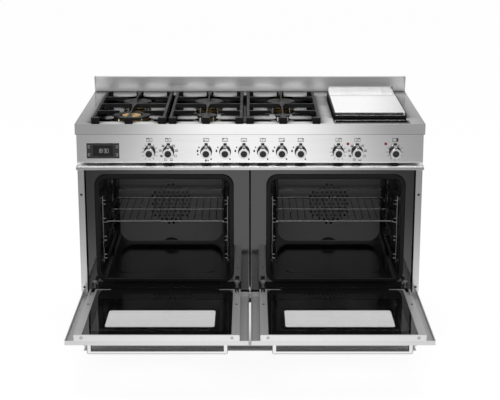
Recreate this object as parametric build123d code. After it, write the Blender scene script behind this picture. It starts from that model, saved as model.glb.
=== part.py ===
from build123d import *
import math
import os

# Free-standing twin-oven range cooker, modelled with both oven doors open.
# Millimetres, +X to the right, +Y to the back, +Z up, floor at Z 0.
# "Depth" is measured backwards from the front plane of the cabinet's pillars.

# Heights, from the top down
RIM_HEIGHT = 840.0
EDGE_HEIGHT = 37.0
PANEL_HEIGHT = 112.0
VENT_GAP = 2.0
RAIL_HEIGHT = 11.0
DOOR_TOP_GAP = 2.0
DOOR_HEIGHT = 488.0
KICK_GAP = 4.0
FOOT_HEIGHT = 18.0

# Plan sizes
WIDTH = 1200.0
OVERHANG = 36.0
BACK_DEPTH = 614.0
REAR_RECESS = 14.0
SHEET = 2.0

# Cabinet front
PILLAR_WIDTH = 22.0
PILLAR_DEPTH = 22.0
PILLAR_CLEARANCE = 3.0
RAIL_BAR_DEPTH = 34.0
RAIL_SHELF = 4.0
RAIL_EDGE_RADIUS = 1.5
KICK_RETURN = 18.0
PANEL_RETURN = 22.0
FACE_RECESS = 28.0
FACE_EDGE = 12.0
FACE_GAP = 6.0
FACE_SIDE_GAP = 3.0
FACE_SILL = 6.0

# Carcass
FLANGE = 14.0
BASE_LIP = 24.0
LOUVRE_LENGTH = 90.0
LOUVRE_WIDTH = 7.0
LOUVRE_PITCH = 18.0
LOUVRE_ROWS = 8
LOUVRE_X = 300.0
LOUVRE_Z = 660.0
FOOT_INSET = 60.0
FOOT_DEPTH_FRONT = 80.0
FOOT_DEPTH_REAR = 540.0
FOOT_PAD_RADIUS = 22.0
FOOT_PAD_HEIGHT = 8.0
FOOT_STEM_RADIUS = 7.0

# Ovens
OVEN_SHIFT = 1.5
OPENING_WIDTH = 455.0
OPENING_HEIGHT = 363.0
OPENING_Z = 450.0
OPENING_RADIUS = 24.0
CAVITY_DEPTH = 430.0
PRESSING_HEIGHT = 1.5
PRESSING_MARGIN = 55.0
PRESSING_RADIUS = 30.0
GASKET_WIDTH = 17.0
GASKET_HEIGHT = 7.5
GASKET_ROUND = 4.0

# Fan and its cover, at the back of each oven
COVER_SIDE_GAP = 32.0
COVER_HEAD_GAP = 47.0
COVER_LIFT = 21.0
COVER_BOX_DEPTH = 45.0
COVER_RADIUS = 45.0
HOLE_RADIUS = 4.3
HOLE_PITCH = 17.5
HOLE_FIELD = 80.0
ARCH_RADIUS = 41.0
ARCH_RISE = 14.0
FAN_RADIUS = 70.0
FAN_HUB_RADIUS = 11.0
FAN_BLADES = 8
FAN_BLADE_DEPTH = 20.0
FAN_PLATE = 2.0
FAN_RIM = 2.0
FAN_GAP = 10.0
FAN_SHAFT_RADIUS = 4.0
FAN_SHAFT_SEAT = 16.0
FAN_BOSS_RADIUS = 12.0
RUNNING_CLEARANCE = 0.05

# Grill element under each oven's roof
ELEMENT_RADIUS = 3.3
ELEMENT_DROP = 24.0
ELEMENT_PITCH = 100.0
ELEMENT_BEND = 30.0
ELEMENT_FRONT = 112.0
ELEMENT_BACK = 370.0

# Ladder racks and sliding wire rack
RUNG_RADIUS = 2.5
RUNG_WALL_GAP = 19.5
RUNG_BEND = 7.0
RUNG_FRONT = 40.0
RUNG_BACK = 376.0
POST_RADIUS = 3.0
POST_WALL_GAP = 5.0
POST_TAIL = 16.0
LEVELS = 4
LOWEST_RUNG = 60.0
LEVEL_PITCH = 66.7
SLOT_HEIGHT = 14.0
RACK_LEVEL = 2
RACK_BAR_RADIUS = 3.0
RACK_CROSS_RADIUS = 2.6
RACK_CROSS_INSET = 6.0
RACK_RUNG_SHIFT = 2.0
RACK_FRONT = 30.0
RACK_LENGTH = 338.0
RACK_WIRE_RADIUS = 1.7
RACK_WIRES = 15
RACK_FENCE_HEIGHT = 34.0
RACK_FENCE_INSET = 12.0
RACK_REST_GAP = 0.3

# Doors, described closed and then swung open about the hinge line
DOOR_GAP = 7.0
DOOR_SIDE_GAP = 2.0
DOOR_SEAT_GAP = 1.0
DOOR_TRAY_DEPTH = 15.0
DOOR_CORNER = 3.0
FRAME_INSET = 30.0
FRAME_DEPTH = 20.0
FRAME_STRIP = 26.0
FRAME_TOP_STRIP = 5.0
FRAME_FOOT_STRIP = 8.0
STAND_GAP = 0.5
GLASS_LEDGE = 14.0
GLASS_THICKNESS = 5.0
GLASS_CLEARANCE = 0.3
WINDOW_WIDTH = 366.0
WINDOW_HEIGHT = 164.0
WINDOW_RISE = 172.0
WINDOW_RADIUS = 10.0
PANE_BORDER = 14.0
PANE_THICKNESS = 4.0
HANDLE_LENGTH = 457.0
HANDLE_REACH = 41.0
HANDLE_THICKNESS = 9.0
HANDLE_POST = 12.6
HANDLE_HEIGHT = 26.0
HANDLE_DROP = 40.0
HANDLE_RADIUS = 5.0
DOOR_OPEN_ANGLE = 90.0

# Door hinges
HINGE_RISE = 23.0
HINGE_INSET = 8.0
HINGE_FRAME_GAP = 2.6
HINGE_STRIP_X = 13.0
HINGE_PIN_RADIUS = 2.5
HINGE_ARM_WIDTH = 7.0
HINGE_ARM_HALF = 4.4
HINGE_SIDE_GAP = 0.5
HINGE_SLOT_GAP = 1.2
POCKET_WIDTH = 15.0
POCKET_LENGTH = 62.0
POCKET_DEPTH = 12.0
LUG_THICKNESS = 4.0
LUG_HALF = 4.6
LUG_SKIN_GAP = 0.4
LUG_OVERLAP = 8.0
BRACKET_PLATE = 3.0
BRACKET_WIDTH = 34.0
BRACKET_HEIGHT = 36.0

# Controls
KNOB_MARGIN = 252.0
KNOB_PITCH = 65.4
KNOB_NAMES = {
    0: "left_function",
    1: "left_thermostat",
    3: "gas_1",
    4: "gas_2",
    5: "gas_3",
    6: "gas_4",
    7: "gas_5",
    8: "gas_6",
    10: "right_function",
    11: "right_thermostat",
    13: "griddle",
}
KNOB_DROP = 69.0
KNOB_GAP = 1.0
KNOB_SKIRT_RADIUS = 20.5
KNOB_SKIRT = 5.0
KNOB_RADIUS = 19.0
KNOB_NOSE_RADIUS = 18.0
KNOB_LENGTH = 33.0
KNOB_FIN_WIDTH = 9.0
KNOB_FIN_RADIUS = 25.5
KNOB_FIN_NOSE = 5.0
KNOB_NUB_WIDTH = 11.0
KNOB_NUB_RADIUS = 31.0
CAP_RADIUS = 11.4
CAP_DEPTH = 2.0
CAP_PROUD = 0.8
CAP_CLEARANCE = 0.2
SPINDLE_RADIUS = 4.0
SPINDLE_LENGTH = 30.0
SPINDLE_HOLE_GAP = 1.0
VALVE_COLLAR_RADIUS = 9.0
VALVE_COLLAR = 10.0
VALVE_SIZE = 34.0
VALVE_DEPTH = 34.0
DISPLAY_MARGIN = 91.0
DISPLAY_DROP = 64.0
DISPLAY_WIDTH = 113.0
DISPLAY_HEIGHT = 54.0
DISPLAY_PROUD = 2.5
DISPLAY_BORDER = 4.0
DISPLAY_BODY_DEPTH = 24.0
DISPLAY_RADIUS = 2.0
LAMP_PLACES = (10.5, 12.5)
LAMP_DROP = 40.0
LAMP_RADIUS = 3.6
LAMP_FLANGE = 1.4
LAMP_PROUD = 2.4
LAMP_BODY = 14.0

# Hob
WELL_DEPTH = 18.0
WELL_FRONT = 6.0
WELL_BACK = 484.0
WELL_MARGIN = 73.0
WELL_WIDTH = 752.0
WELL_RADIUS = 24.0
BOSS_HEIGHT = 4.0
BOSS_TOP_MARGIN = 6.0
BOSS_FOOT_MARGIN = 18.0
BACKGUARD_HEIGHT = 56.0
BACKGUARD_DEPTH = 18.0
BACKGUARD_END_RISE = 2.0
BACKGUARD_END_FORWARD = 20.0

# Burners: column, row, crown radius, flame ports
COLUMN_MARGIN = 182.5
COLUMN_PITCH = 266.0
ROW_DEPTH = (114.0, 378.0)
WOK_RADIUS = 62.0
WOK_PORTS = 30
SINGLE_BURNERS = (
    (0, 1, 49.0, 24),
    (1, 0, 33.0, 18),
    (1, 1, 49.0, 24),
    (2, 0, 23.0, 12),
    (2, 1, 49.0, 24),
)
CROWN_HEIGHT = 12.0
CROWN_STEM_RADIUS = 14.0
CROWN_STEM_DROP = 22.0
STEM_CLEARANCE = 0.3
PORT_WIDTH = 2.4
PORT_HEIGHT = 7.0
PORT_LENGTH = 7.0
CAP_OVERHANG = 3.0
CAP_THICKNESS = 5.0
CAP_EDGE = 1.5
WOK_RING_HOLE = 40.0
WOK_INNER_RADIUS = 31.0
WOK_INNER_PORTS = 14
WOK_WEB_HEIGHT = 3.0

# Cast-iron pan supports
SUPPORT_WIDTH = 255.0
SUPPORT_FRONT = -18.0
SUPPORT_BACK = 506.0
SUPPORT_TOP = 18.0
BAR_HEIGHT = 14.0
BAR_TOP_WIDTH = 9.0
BAR_FOOT_WIDTH = 13.0
FINGER_TIP_HEIGHT = 8.0
FINGER_TIP_WIDTH = 6.0
FINGER_REACH = 42.0
END_FINGER_WIDTH = 19.0
RIB_WIDTH = 4.0
RIB_HEIGHT = 7.0
STAR_LENGTH = 174.0
STAR_WIDTH = 18.0
STAR_DEPTH = 12.0
LEG_WIDTH = 26.0
LEG_DEPTH = 22.0
LEG_ROUND = 5.0

# Griddle
GRIDDLE_MARGIN = 180.5
GRIDDLE_WIDTH = 253.0
GRIDDLE_FRONT = 70.0
GRIDDLE_BACK = 495.0
GRIDDLE_WALL = 4.0
GRIDDLE_HEIGHT = 17.0
GRIDDLE_PLATE = 8.0
GRIDDLE_PAN_INSET = 12.0
GRIDDLE_PAN_DROP = 24.0
COVER_CLEARANCE = 0.5
COVER_TOP = 20.0
COVER_LIP = 17.0
COVER_APRON = 12.0
TRAY_FRONT = -17.0
TRAY_BACK = 24.0
TRAY_DROP = 22.0
TRAY_FLANGE = 3.0
TRAY_FLANGE_THICKNESS = 1.2

# Supply connections at the back
GAS_MARGIN = 80.0
GAS_Z = 690.0
GAS_RADIUS = 10.5
GAS_LENGTH = 10.5
GAS_SEAT = 10.0
GAS_NUT_WIDTH = 30.0
GAS_NUT_HEIGHT = 3.0
NUT_SIDES = 6
GLAND_MARGIN = 80.0
GLAND_Z = 110.0
GLAND_RADIUS = 14.0
GLAND_HOLE_RADIUS = 6.0
GLAND_LENGTH = 12.0

# Levels and planes that follow from the sizes above
HALF = WIDTH / 2
FOOT_X = HALF - FOOT_INSET
OVEN_X = HALF / 2 + OVEN_SHIFT
KNOB_X_FIRST = KNOB_MARGIN - HALF
DISPLAY_X = DISPLAY_MARGIN - HALF
WELL_LEFT = WELL_MARGIN - HALF
WELL_RIGHT = WELL_LEFT + WELL_WIDTH
COLUMN_X = [COLUMN_MARGIN - HALF + column * COLUMN_PITCH for column in range(3)]
GRIDDLE_X = HALF - GRIDDLE_MARGIN
GAS_X = HALF - GAS_MARGIN
GLAND_X = GLAND_MARGIN - HALF
EDGE_BOTTOM = RIM_HEIGHT - EDGE_HEIGHT
PANEL_BOTTOM = EDGE_BOTTOM - PANEL_HEIGHT
RAIL_TOP = PANEL_BOTTOM - VENT_GAP
RAIL_BOTTOM = RAIL_TOP - RAIL_HEIGHT
DOOR_TOP = RAIL_BOTTOM - DOOR_TOP_GAP
DOOR_BOTTOM = DOOR_TOP - DOOR_HEIGHT
KICK_TOP = DOOR_BOTTOM - KICK_GAP
HINGE_Z = DOOR_BOTTOM + HINGE_RISE
DOOR_BACK = -DOOR_SEAT_GAP
DOOR_FRONT = DOOR_BACK - DOOR_TRAY_DEPTH
HINGE_DEPTH = DOOR_BACK - HINGE_INSET
FRAME_BOTTOM = HINGE_Z + HINGE_ARM_HALF + HINGE_FRAME_GAP
FRAME_TOP = DOOR_TOP
STAND_TOP = DOOR_TOP - SHEET - STAND_GAP
PILLAR_BOTTOM = HINGE_Z + HINGE_INSET + PILLAR_CLEARANCE
PILLAR_TOP = RAIL_TOP - RAIL_SHELF
FACE_BOTTOM = KICK_TOP + FACE_SILL
FACE_BACK = FACE_RECESS + SHEET
CAVITY_BACK = FACE_BACK + CAVITY_DEPTH
CAVITY_FLOOR = OPENING_Z - OPENING_HEIGHT / 2
CAVITY_ROOF = OPENING_Z + OPENING_HEIGHT / 2
REAR_DEPTH = BACK_DEPTH - REAR_RECESS
DECK = RIM_HEIGHT - WELL_DEPTH
KNOB_Z = EDGE_BOTTOM - KNOB_DROP
COVER_WIDTH = OPENING_WIDTH - 2 * COVER_SIDE_GAP
COVER_HEIGHT = OPENING_HEIGHT - COVER_LIFT - COVER_HEAD_GAP
FAN_Z = CAVITY_FLOOR + COVER_LIFT + COVER_HEIGHT / 2
RUNG_OFFSET = OPENING_WIDTH / 2 - RUNG_WALL_GAP
POST_OFFSET = OPENING_WIDTH / 2 - POST_WALL_GAP
RACK_HALF_WIDTH = RUNG_OFFSET - RACK_RUNG_SHIFT
RACK_FENCE_HALF = RACK_HALF_WIDTH - RACK_FENCE_INSET
RACK_WIRE_PITCH = 2 * RACK_HALF_WIDTH / (RACK_WIRES + 1)
RACK_RUNG_Z = CAVITY_FLOOR + LOWEST_RUNG + RACK_LEVEL * LEVEL_PITCH
RACK_TOUCH = RUNG_RADIUS + RACK_BAR_RADIUS + RACK_REST_GAP
RACK_Z = RACK_RUNG_Z + math.sqrt(RACK_TOUCH**2 - RACK_RUNG_SHIFT**2)

# The origin is on the floor, at the middle of the footprint with the doors open.
DOOR_REACH = DOOR_TOP - HINGE_Z - HINGE_DEPTH
FRONT_Y = (DOOR_REACH - BACK_DEPTH) / 2


def block(x_span, depth_span, z_span):
    """Box between two x values, two depths and two heights."""
    spans = (sorted(x_span), sorted(depth_span), sorted(z_span))
    size = [high - low for low, high in spans]
    middle = [(high + low) / 2 for low, high in spans]
    return Pos(middle[0], FRONT_Y + middle[1], middle[2]) * Box(*size)


def along_x(points, x_low, x_high):
    """Outline of (depth, height) points, extruded from one x to another."""
    plane = Plane(origin=(x_low, FRONT_Y, 0), x_dir=(0, 1, 0), z_dir=(1, 0, 0))
    return extrude(plane * make_face(Polyline(points, close=True)), amount=x_high - x_low)


def along_depth(points, low, high):
    """Outline of (x, height) points, extruded from one depth to another."""
    plane = Plane(origin=(0, FRONT_Y + high, 0), x_dir=(1, 0, 0), z_dir=(0, -1, 0))
    return extrude(plane * make_face(Polyline(points, close=True)), amount=high - low)


def front_plane(x, depth, z):
    """Plane parallel to the cabinet front, facing the user, with x right and y up."""
    return Plane(origin=(x, FRONT_Y + depth, z), x_dir=(1, 0, 0), z_dir=(0, -1, 0))


def floor_plane(x, depth, z):
    """Level plane at one point, facing up."""
    return Plane(origin=(x, FRONT_Y + depth, z))


def upright_slab(x, z, width, height, radius, front, back):
    """Slab parallel to the cabinet front with round corners, between two depths."""
    outline = RectangleRounded(width, height, radius)
    return extrude(front_plane(x, back, z) * outline, amount=back - front)


def turned(plane, points):
    """Solid of revolution about the plane's normal, from (radius, height) points."""
    profile = make_face(Polyline(points, close=True))
    return plane.location * revolve(Plane.XZ * profile, Axis.Z)


def pipe(start, end, radius):
    """Straight round bar between two (x, depth, z) points."""
    first = Vector(start[0], FRONT_Y + start[1], start[2])
    last = Vector(end[0], FRONT_Y + end[1], end[2])
    plane = Plane(origin=first, z_dir=last - first)
    return extrude(plane * Circle(radius), amount=(last - first).length)


def side_panels():
    panels = []
    for side in (-1, 1):
        outer = side * HALF
        skin = outer - side * SHEET
        flange = outer - side * FLANGE
        z_span = (FOOT_HEIGHT, EDGE_BOTTOM)
        wall = block((outer, skin), (PILLAR_DEPTH, REAR_DEPTH), z_span)
        front = block((skin, flange), (PILLAR_DEPTH, PILLAR_DEPTH + SHEET), z_span)
        back = block((skin, flange), (REAR_DEPTH - 2 * SHEET, REAR_DEPTH - SHEET), z_span)
        panels.append(wall + front + back)
    return panels


def base_pan():
    width = HALF - FLANGE
    depth = (PILLAR_DEPTH, REAR_DEPTH - 2 * SHEET)
    inner = (depth[0] + SHEET, depth[1] - SHEET)
    lip_top = FOOT_HEIGHT + BASE_LIP
    pan = block((-width, width), depth, (FOOT_HEIGHT, lip_top))
    return pan - block((SHEET - width, width - SHEET), inner, (FOOT_HEIGHT + SHEET, lip_top))


def rear_panel():
    depth = (REAR_DEPTH - SHEET, REAR_DEPTH)
    panel = block((SHEET - HALF, HALF - SHEET), depth, (FOOT_HEIGHT, EDGE_BOTTOM))
    slot = SlotOverall(LOUVRE_LENGTH, LOUVRE_WIDTH)
    for side in (-1, 1):
        for row in range(LOUVRE_ROWS):
            z = LOUVRE_Z - row * LOUVRE_PITCH
            panel -= extrude(front_plane(side * LOUVRE_X, depth[1], z) * slot, amount=SHEET)
    panel -= pipe((GAS_X, depth[0], GAS_Z), (GAS_X, depth[1], GAS_Z), GAS_RADIUS)
    return panel - pipe((GLAND_X, depth[0], GLAND_Z), (GLAND_X, depth[1], GLAND_Z), GLAND_RADIUS)


def feet():
    points = [
        (0, 0),
        (FOOT_PAD_RADIUS, 0),
        (FOOT_PAD_RADIUS, FOOT_PAD_HEIGHT / 2),
        (FOOT_STEM_RADIUS, FOOT_PAD_HEIGHT),
        (FOOT_STEM_RADIUS, FOOT_HEIGHT),
        (0, FOOT_HEIGHT),
    ]
    places = [(x, d) for x in (-FOOT_X, FOOT_X) for d in (FOOT_DEPTH_FRONT, FOOT_DEPTH_REAR)]
    return [turned(floor_plane(x, d, 0), points) for x, d in places]


def kick_panel():
    points = [
        (0, FOOT_HEIGHT),
        (KICK_RETURN, FOOT_HEIGHT),
        (KICK_RETURN, FOOT_HEIGHT + SHEET),
        (SHEET, FOOT_HEIGHT + SHEET),
        (SHEET, KICK_TOP - SHEET),
        (PILLAR_DEPTH, KICK_TOP - SHEET),
        (PILLAR_DEPTH, KICK_TOP),
        (0, KICK_TOP),
    ]
    return along_x(points, -HALF, HALF)


def front_pillars():
    pillars = []
    for side in (-1, 1):
        outer = side * HALF
        inner = outer - side * PILLAR_WIDTH
        post = block((outer, inner), (0, PILLAR_DEPTH), (PILLAR_BOTTOM, PILLAR_TOP))
        hollow = (outer - side * SHEET, inner + side * SHEET)
        pillars.append(post - block(hollow, (SHEET, PILLAR_DEPTH), (PILLAR_BOTTOM, PILLAR_TOP)))
    return pillars


def vent_rail():
    bar_back = RAIL_BAR_DEPTH - OVERHANG
    points = [
        (-OVERHANG, RAIL_BOTTOM),
        (bar_back, RAIL_BOTTOM),
        (bar_back, RAIL_TOP - RAIL_SHELF),
        (PILLAR_DEPTH, RAIL_TOP - RAIL_SHELF),
        (PILLAR_DEPTH, RAIL_TOP),
        (-OVERHANG, RAIL_TOP),
    ]
    rail = along_x(points, -HALF, HALF)
    front_edges = rail.edges().filter_by(Axis.X).group_by(Axis.Y)[0]
    rail = fillet(front_edges, RAIL_EDGE_RADIUS)
    shelf = HALF - PILLAR_WIDTH - FACE_SIDE_GAP
    shelf_z = (RAIL_TOP - RAIL_SHELF, RAIL_TOP)
    return rail + block((-shelf, shelf), (PILLAR_DEPTH, FACE_RECESS), shelf_z)


def knob_x(place):
    return KNOB_X_FIRST + place * KNOB_PITCH


def display_z():
    return EDGE_BOTTOM - DISPLAY_DROP


def control_panel():
    z_span = (PANEL_BOTTOM, EDGE_BOTTOM)
    panel = block((-HALF, HALF), (0, PANEL_RETURN), z_span)
    hollow_z = (PANEL_BOTTOM + SHEET, EDGE_BOTTOM - SHEET)
    panel -= block((SHEET - HALF, HALF - SHEET), (SHEET, PANEL_RETURN), hollow_z)
    for place in KNOB_NAMES:
        hole = Circle(SPINDLE_RADIUS + SPINDLE_HOLE_GAP)
        panel -= extrude(front_plane(knob_x(place), SHEET, KNOB_Z) * hole, amount=SHEET)
    for place in LAMP_PLACES:
        hole = Circle(LAMP_RADIUS)
        plane = front_plane(knob_x(place), SHEET, EDGE_BOTTOM - LAMP_DROP)
        panel -= extrude(plane * hole, amount=SHEET)
    window = Rectangle(DISPLAY_WIDTH - 2 * DISPLAY_BORDER, DISPLAY_HEIGHT - 2 * DISPLAY_BORDER)
    return panel - extrude(front_plane(DISPLAY_X, SHEET, display_z()) * window, amount=SHEET)


def clock_display():
    front = upright_slab(
        DISPLAY_X, display_z(), DISPLAY_WIDTH, DISPLAY_HEIGHT, DISPLAY_RADIUS, -DISPLAY_PROUD, 0
    )
    body = Rectangle(DISPLAY_WIDTH - 2 * DISPLAY_BORDER, DISPLAY_HEIGHT - 2 * DISPLAY_BORDER)
    plane = front_plane(DISPLAY_X, DISPLAY_BODY_DEPTH, display_z())
    return front + extrude(plane * body, amount=DISPLAY_BODY_DEPTH)


def pilot_lamps():
    points = [
        (0, -LAMP_BODY),
        (LAMP_RADIUS, -LAMP_BODY),
        (LAMP_RADIUS, 0),
        (LAMP_RADIUS + LAMP_FLANGE, 0),
        (LAMP_RADIUS, LAMP_PROUD / 2),
        (LAMP_RADIUS / 2, LAMP_PROUD),
        (0, LAMP_PROUD),
    ]
    z = EDGE_BOTTOM - LAMP_DROP
    return [turned(front_plane(knob_x(place), 0, z), points) for place in LAMP_PLACES]


def knob(place):
    """Turned grip with a pointer fin, a nub on its skirt, its spindle and the cap in its nose."""
    axis = front_plane(knob_x(place), 0, KNOB_Z)
    skirt_top = KNOB_GAP + KNOB_SKIRT
    nose = KNOB_GAP + KNOB_LENGTH
    cap_seat = nose - CAP_DEPTH
    grip = turned(
        axis,
        [
            (0, -SPINDLE_LENGTH),
            (SPINDLE_RADIUS, -SPINDLE_LENGTH),
            (SPINDLE_RADIUS, KNOB_GAP),
            (KNOB_SKIRT_RADIUS, KNOB_GAP),
            (KNOB_SKIRT_RADIUS, skirt_top),
            (KNOB_RADIUS, skirt_top),
            (KNOB_NOSE_RADIUS, nose),
            (CAP_RADIUS + CAP_CLEARANCE, nose),
            (CAP_RADIUS + CAP_CLEARANCE, cap_seat),
            (0, cap_seat),
        ],
    )
    fin_low = CAP_RADIUS + KNOB_NOSE_RADIUS
    fin = along_x(
        [
            (-KNOB_GAP, KNOB_Z + fin_low / 2),
            (-KNOB_GAP, KNOB_Z + KNOB_FIN_RADIUS),
            (-skirt_top, KNOB_Z + KNOB_FIN_RADIUS),
            (KNOB_FIN_NOSE - nose, KNOB_Z + KNOB_RADIUS + CAP_PROUD),
            (-nose, KNOB_Z + KNOB_RADIUS - CAP_PROUD),
            (-nose, KNOB_Z + fin_low / 2),
        ],
        knob_x(place) - KNOB_FIN_WIDTH / 2,
        knob_x(place) + KNOB_FIN_WIDTH / 2,
    )
    nub_x = (knob_x(place) - KNOB_NUB_WIDTH / 2, knob_x(place) + KNOB_NUB_WIDTH / 2)
    nub = block(nub_x, (-skirt_top, -KNOB_GAP), (KNOB_Z + fin_low / 2, KNOB_Z + KNOB_NUB_RADIUS))
    cap = turned(
        axis,
        [
            (0, cap_seat),
            (CAP_RADIUS, cap_seat),
            (CAP_RADIUS, nose),
            (CAP_RADIUS - CAP_PROUD, nose + CAP_PROUD),
            (0, nose + CAP_PROUD),
        ],
    )
    return [grip + fin + nub, cap]


def valve_bodies():
    valves = []
    for place in KNOB_NAMES:
        x = knob_x(place)
        collar_back = SHEET + VALVE_COLLAR
        collar = pipe((x, SHEET, KNOB_Z), (x, collar_back, KNOB_Z), VALVE_COLLAR_RADIUS)
        half = VALVE_SIZE / 2
        body_depth = (collar_back, collar_back + VALVE_DEPTH)
        body = block((x - half, x + half), body_depth, (KNOB_Z - half, KNOB_Z + half))
        bore_end = SPINDLE_LENGTH + SPINDLE_HOLE_GAP
        bore = pipe((x, 0, KNOB_Z), (x, bore_end, KNOB_Z), SPINDLE_RADIUS + RUNNING_CLEARANCE)
        valves.append(collar + body - bore)
    return valves


def burner_places():
    """Column, row, crown radius and port count of every burner."""
    return ((0, 0, WOK_RADIUS, WOK_PORTS),) + SINGLE_BURNERS


def hob_top():
    depth = (-OVERHANG, BACK_DEPTH)
    hob = block((-HALF, HALF), depth, (EDGE_BOTTOM, RIM_HEIGHT))
    inner = (SHEET - OVERHANG, BACK_DEPTH - SHEET)
    hob -= block((SHEET - HALF, HALF - SHEET), inner, (EDGE_BOTTOM, RIM_HEIGHT - SHEET))
    well_x = (WELL_LEFT + WELL_RIGHT) / 2
    well_depth = (WELL_FRONT + WELL_BACK) / 2
    size = (WELL_RIGHT - WELL_LEFT, WELL_BACK - WELL_FRONT)
    outer = RectangleRounded(size[0] + 2 * SHEET, size[1] + 2 * SHEET, WELL_RADIUS + SHEET)
    low = floor_plane(well_x, well_depth, DECK - SHEET)
    hob += extrude(low * outer, amount=WELL_DEPTH)
    basin = RectangleRounded(size[0], size[1], WELL_RADIUS)
    hob -= extrude(floor_plane(well_x, well_depth, DECK) * basin, amount=WELL_DEPTH)
    for column, row, radius, _ in burner_places():
        plane = floor_plane(COLUMN_X[column], ROW_DEPTH[row], DECK)
        foot = radius + BOSS_FOOT_MARGIN
        boss = turned(
            plane,
            [(0, 0), (foot, 0), (radius + BOSS_TOP_MARGIN, BOSS_HEIGHT), (0, BOSS_HEIGHT)],
        )
        hole = extrude(plane.offset(-SHEET) * Circle(CROWN_STEM_RADIUS + STEM_CLEARANCE),
                       amount=SHEET + BOSS_HEIGHT)
        hob = hob + boss - hole
    half = GRIDDLE_WIDTH / 2 - GRIDDLE_PAN_INSET + COVER_CLEARANCE
    griddle_depth = (
        GRIDDLE_FRONT + GRIDDLE_PAN_INSET - COVER_CLEARANCE,
        GRIDDLE_BACK - GRIDDLE_PAN_INSET + COVER_CLEARANCE,
    )
    top = (RIM_HEIGHT - SHEET, RIM_HEIGHT)
    hob -= block((GRIDDLE_X - half, GRIDDLE_X + half), griddle_depth, top)
    tray_half = GRIDDLE_WIDTH / 2 + COVER_CLEARANCE
    tray_depth = (TRAY_FRONT - COVER_CLEARANCE, TRAY_BACK + COVER_CLEARANCE)
    return hob - block((GRIDDLE_X - tray_half, GRIDDLE_X + tray_half), tray_depth, top)


def backguard():
    front = BACK_DEPTH - BACKGUARD_DEPTH
    top = RIM_HEIGHT + BACKGUARD_HEIGHT
    points = [
        (front, RIM_HEIGHT),
        (front + SHEET, RIM_HEIGHT),
        (front + SHEET, top - SHEET),
        (BACK_DEPTH - SHEET, top - SHEET),
        (BACK_DEPTH - SHEET, RIM_HEIGHT),
        (BACK_DEPTH, RIM_HEIGHT),
        (BACK_DEPTH, top),
        (front, top),
    ]
    guard = along_x(points, -HALF, HALF)
    end_top = top + BACKGUARD_END_RISE
    end = [
        (front - SHEET, RIM_HEIGHT),
        (BACK_DEPTH, RIM_HEIGHT),
        (BACK_DEPTH, end_top),
        (front - BACKGUARD_END_FORWARD, end_top),
    ]
    return guard + along_x(end, -HALF, SHEET - HALF) + along_x(end, HALF - SHEET, HALF)


def port_cutter(plane, radius, count, top):
    """Ring of radial slots, cut from a crown's upper edge."""
    cutter = Part()
    slot = Box(PORT_LENGTH, PORT_WIDTH, PORT_HEIGHT)
    reach = radius - PORT_LENGTH / 2
    for index in range(count):
        turn = Rot(0, 0, index * 360 / count)
        cutter += plane.location * turn * Pos(reach, 0, top - PORT_HEIGHT / 2) * slot
    return cutter


def single_base(plane, radius, count):
    crown = turned(
        plane,
        [
            (0, -CROWN_STEM_DROP),
            (CROWN_STEM_RADIUS, -CROWN_STEM_DROP),
            (CROWN_STEM_RADIUS, 0),
            (radius, 0),
            (radius, CROWN_HEIGHT),
            (0, CROWN_HEIGHT),
        ],
    )
    return crown - port_cutter(plane, radius, count, CROWN_HEIGHT)


def wok_base(plane):
    """Outer crown ring and inner crown joined by a low web."""
    ring_inside = WOK_RING_HOLE + CAP_OVERHANG
    crown = turned(
        plane,
        [
            (0, -CROWN_STEM_DROP),
            (CROWN_STEM_RADIUS, -CROWN_STEM_DROP),
            (CROWN_STEM_RADIUS, 0),
            (WOK_RADIUS, 0),
            (WOK_RADIUS, CROWN_HEIGHT),
            (ring_inside, CROWN_HEIGHT),
            (ring_inside, WOK_WEB_HEIGHT),
            (WOK_INNER_RADIUS, WOK_WEB_HEIGHT),
            (WOK_INNER_RADIUS, CROWN_HEIGHT),
            (0, CROWN_HEIGHT),
        ],
    )
    crown -= port_cutter(plane, WOK_RADIUS, WOK_PORTS, CROWN_HEIGHT)
    return crown - port_cutter(plane, WOK_INNER_RADIUS, WOK_INNER_PORTS, CROWN_HEIGHT)


def burner_plane(column, row):
    return floor_plane(COLUMN_X[column], ROW_DEPTH[row], DECK + BOSS_HEIGHT)


def burner_bases():
    singles = [single_base(burner_plane(c, r), radius, n) for c, r, radius, n in SINGLE_BURNERS]
    return [wok_base(burner_plane(0, 0))] + singles


def cap_disc(plane, hole, radius, seat):
    top = seat + CAP_THICKNESS
    points = [
        (hole, seat),
        (radius, seat),
        (radius, top - CAP_EDGE),
        (radius - CAP_EDGE, top),
        (hole, top),
    ]
    return turned(plane, points)


def burner_caps():
    wok = burner_plane(0, 0)
    caps = [
        cap_disc(wok, WOK_RING_HOLE, WOK_RADIUS + CAP_OVERHANG, CROWN_HEIGHT),
        cap_disc(wok, 0, WOK_INNER_RADIUS + CAP_OVERHANG, CROWN_HEIGHT),
    ]
    for column, row, radius, _ in SINGLE_BURNERS:
        caps.append(cap_disc(burner_plane(column, row), 0, radius + CAP_OVERHANG, CROWN_HEIGHT))
    return caps


def bar_section(middle, top):
    """Tapered cast bar: narrow on top, wider below."""
    low = top - BAR_HEIGHT
    return [
        (middle - BAR_FOOT_WIDTH / 2, low),
        (middle + BAR_FOOT_WIDTH / 2, low),
        (middle + BAR_TOP_WIDTH / 2, top),
        (middle - BAR_TOP_WIDTH / 2, top),
    ]


def support_leg(x, depth_low):
    depth = (depth_low, depth_low + LEG_DEPTH)
    leg = block((x - LEG_WIDTH / 2, x + LEG_WIDTH / 2), depth, (RIM_HEIGHT, RIM_HEIGHT + SUPPORT_TOP))
    low_edges = leg.edges().filter_by(Axis.Y).group_by(Axis.Z)[0]
    return fillet(low_edges, LEG_ROUND)


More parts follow.
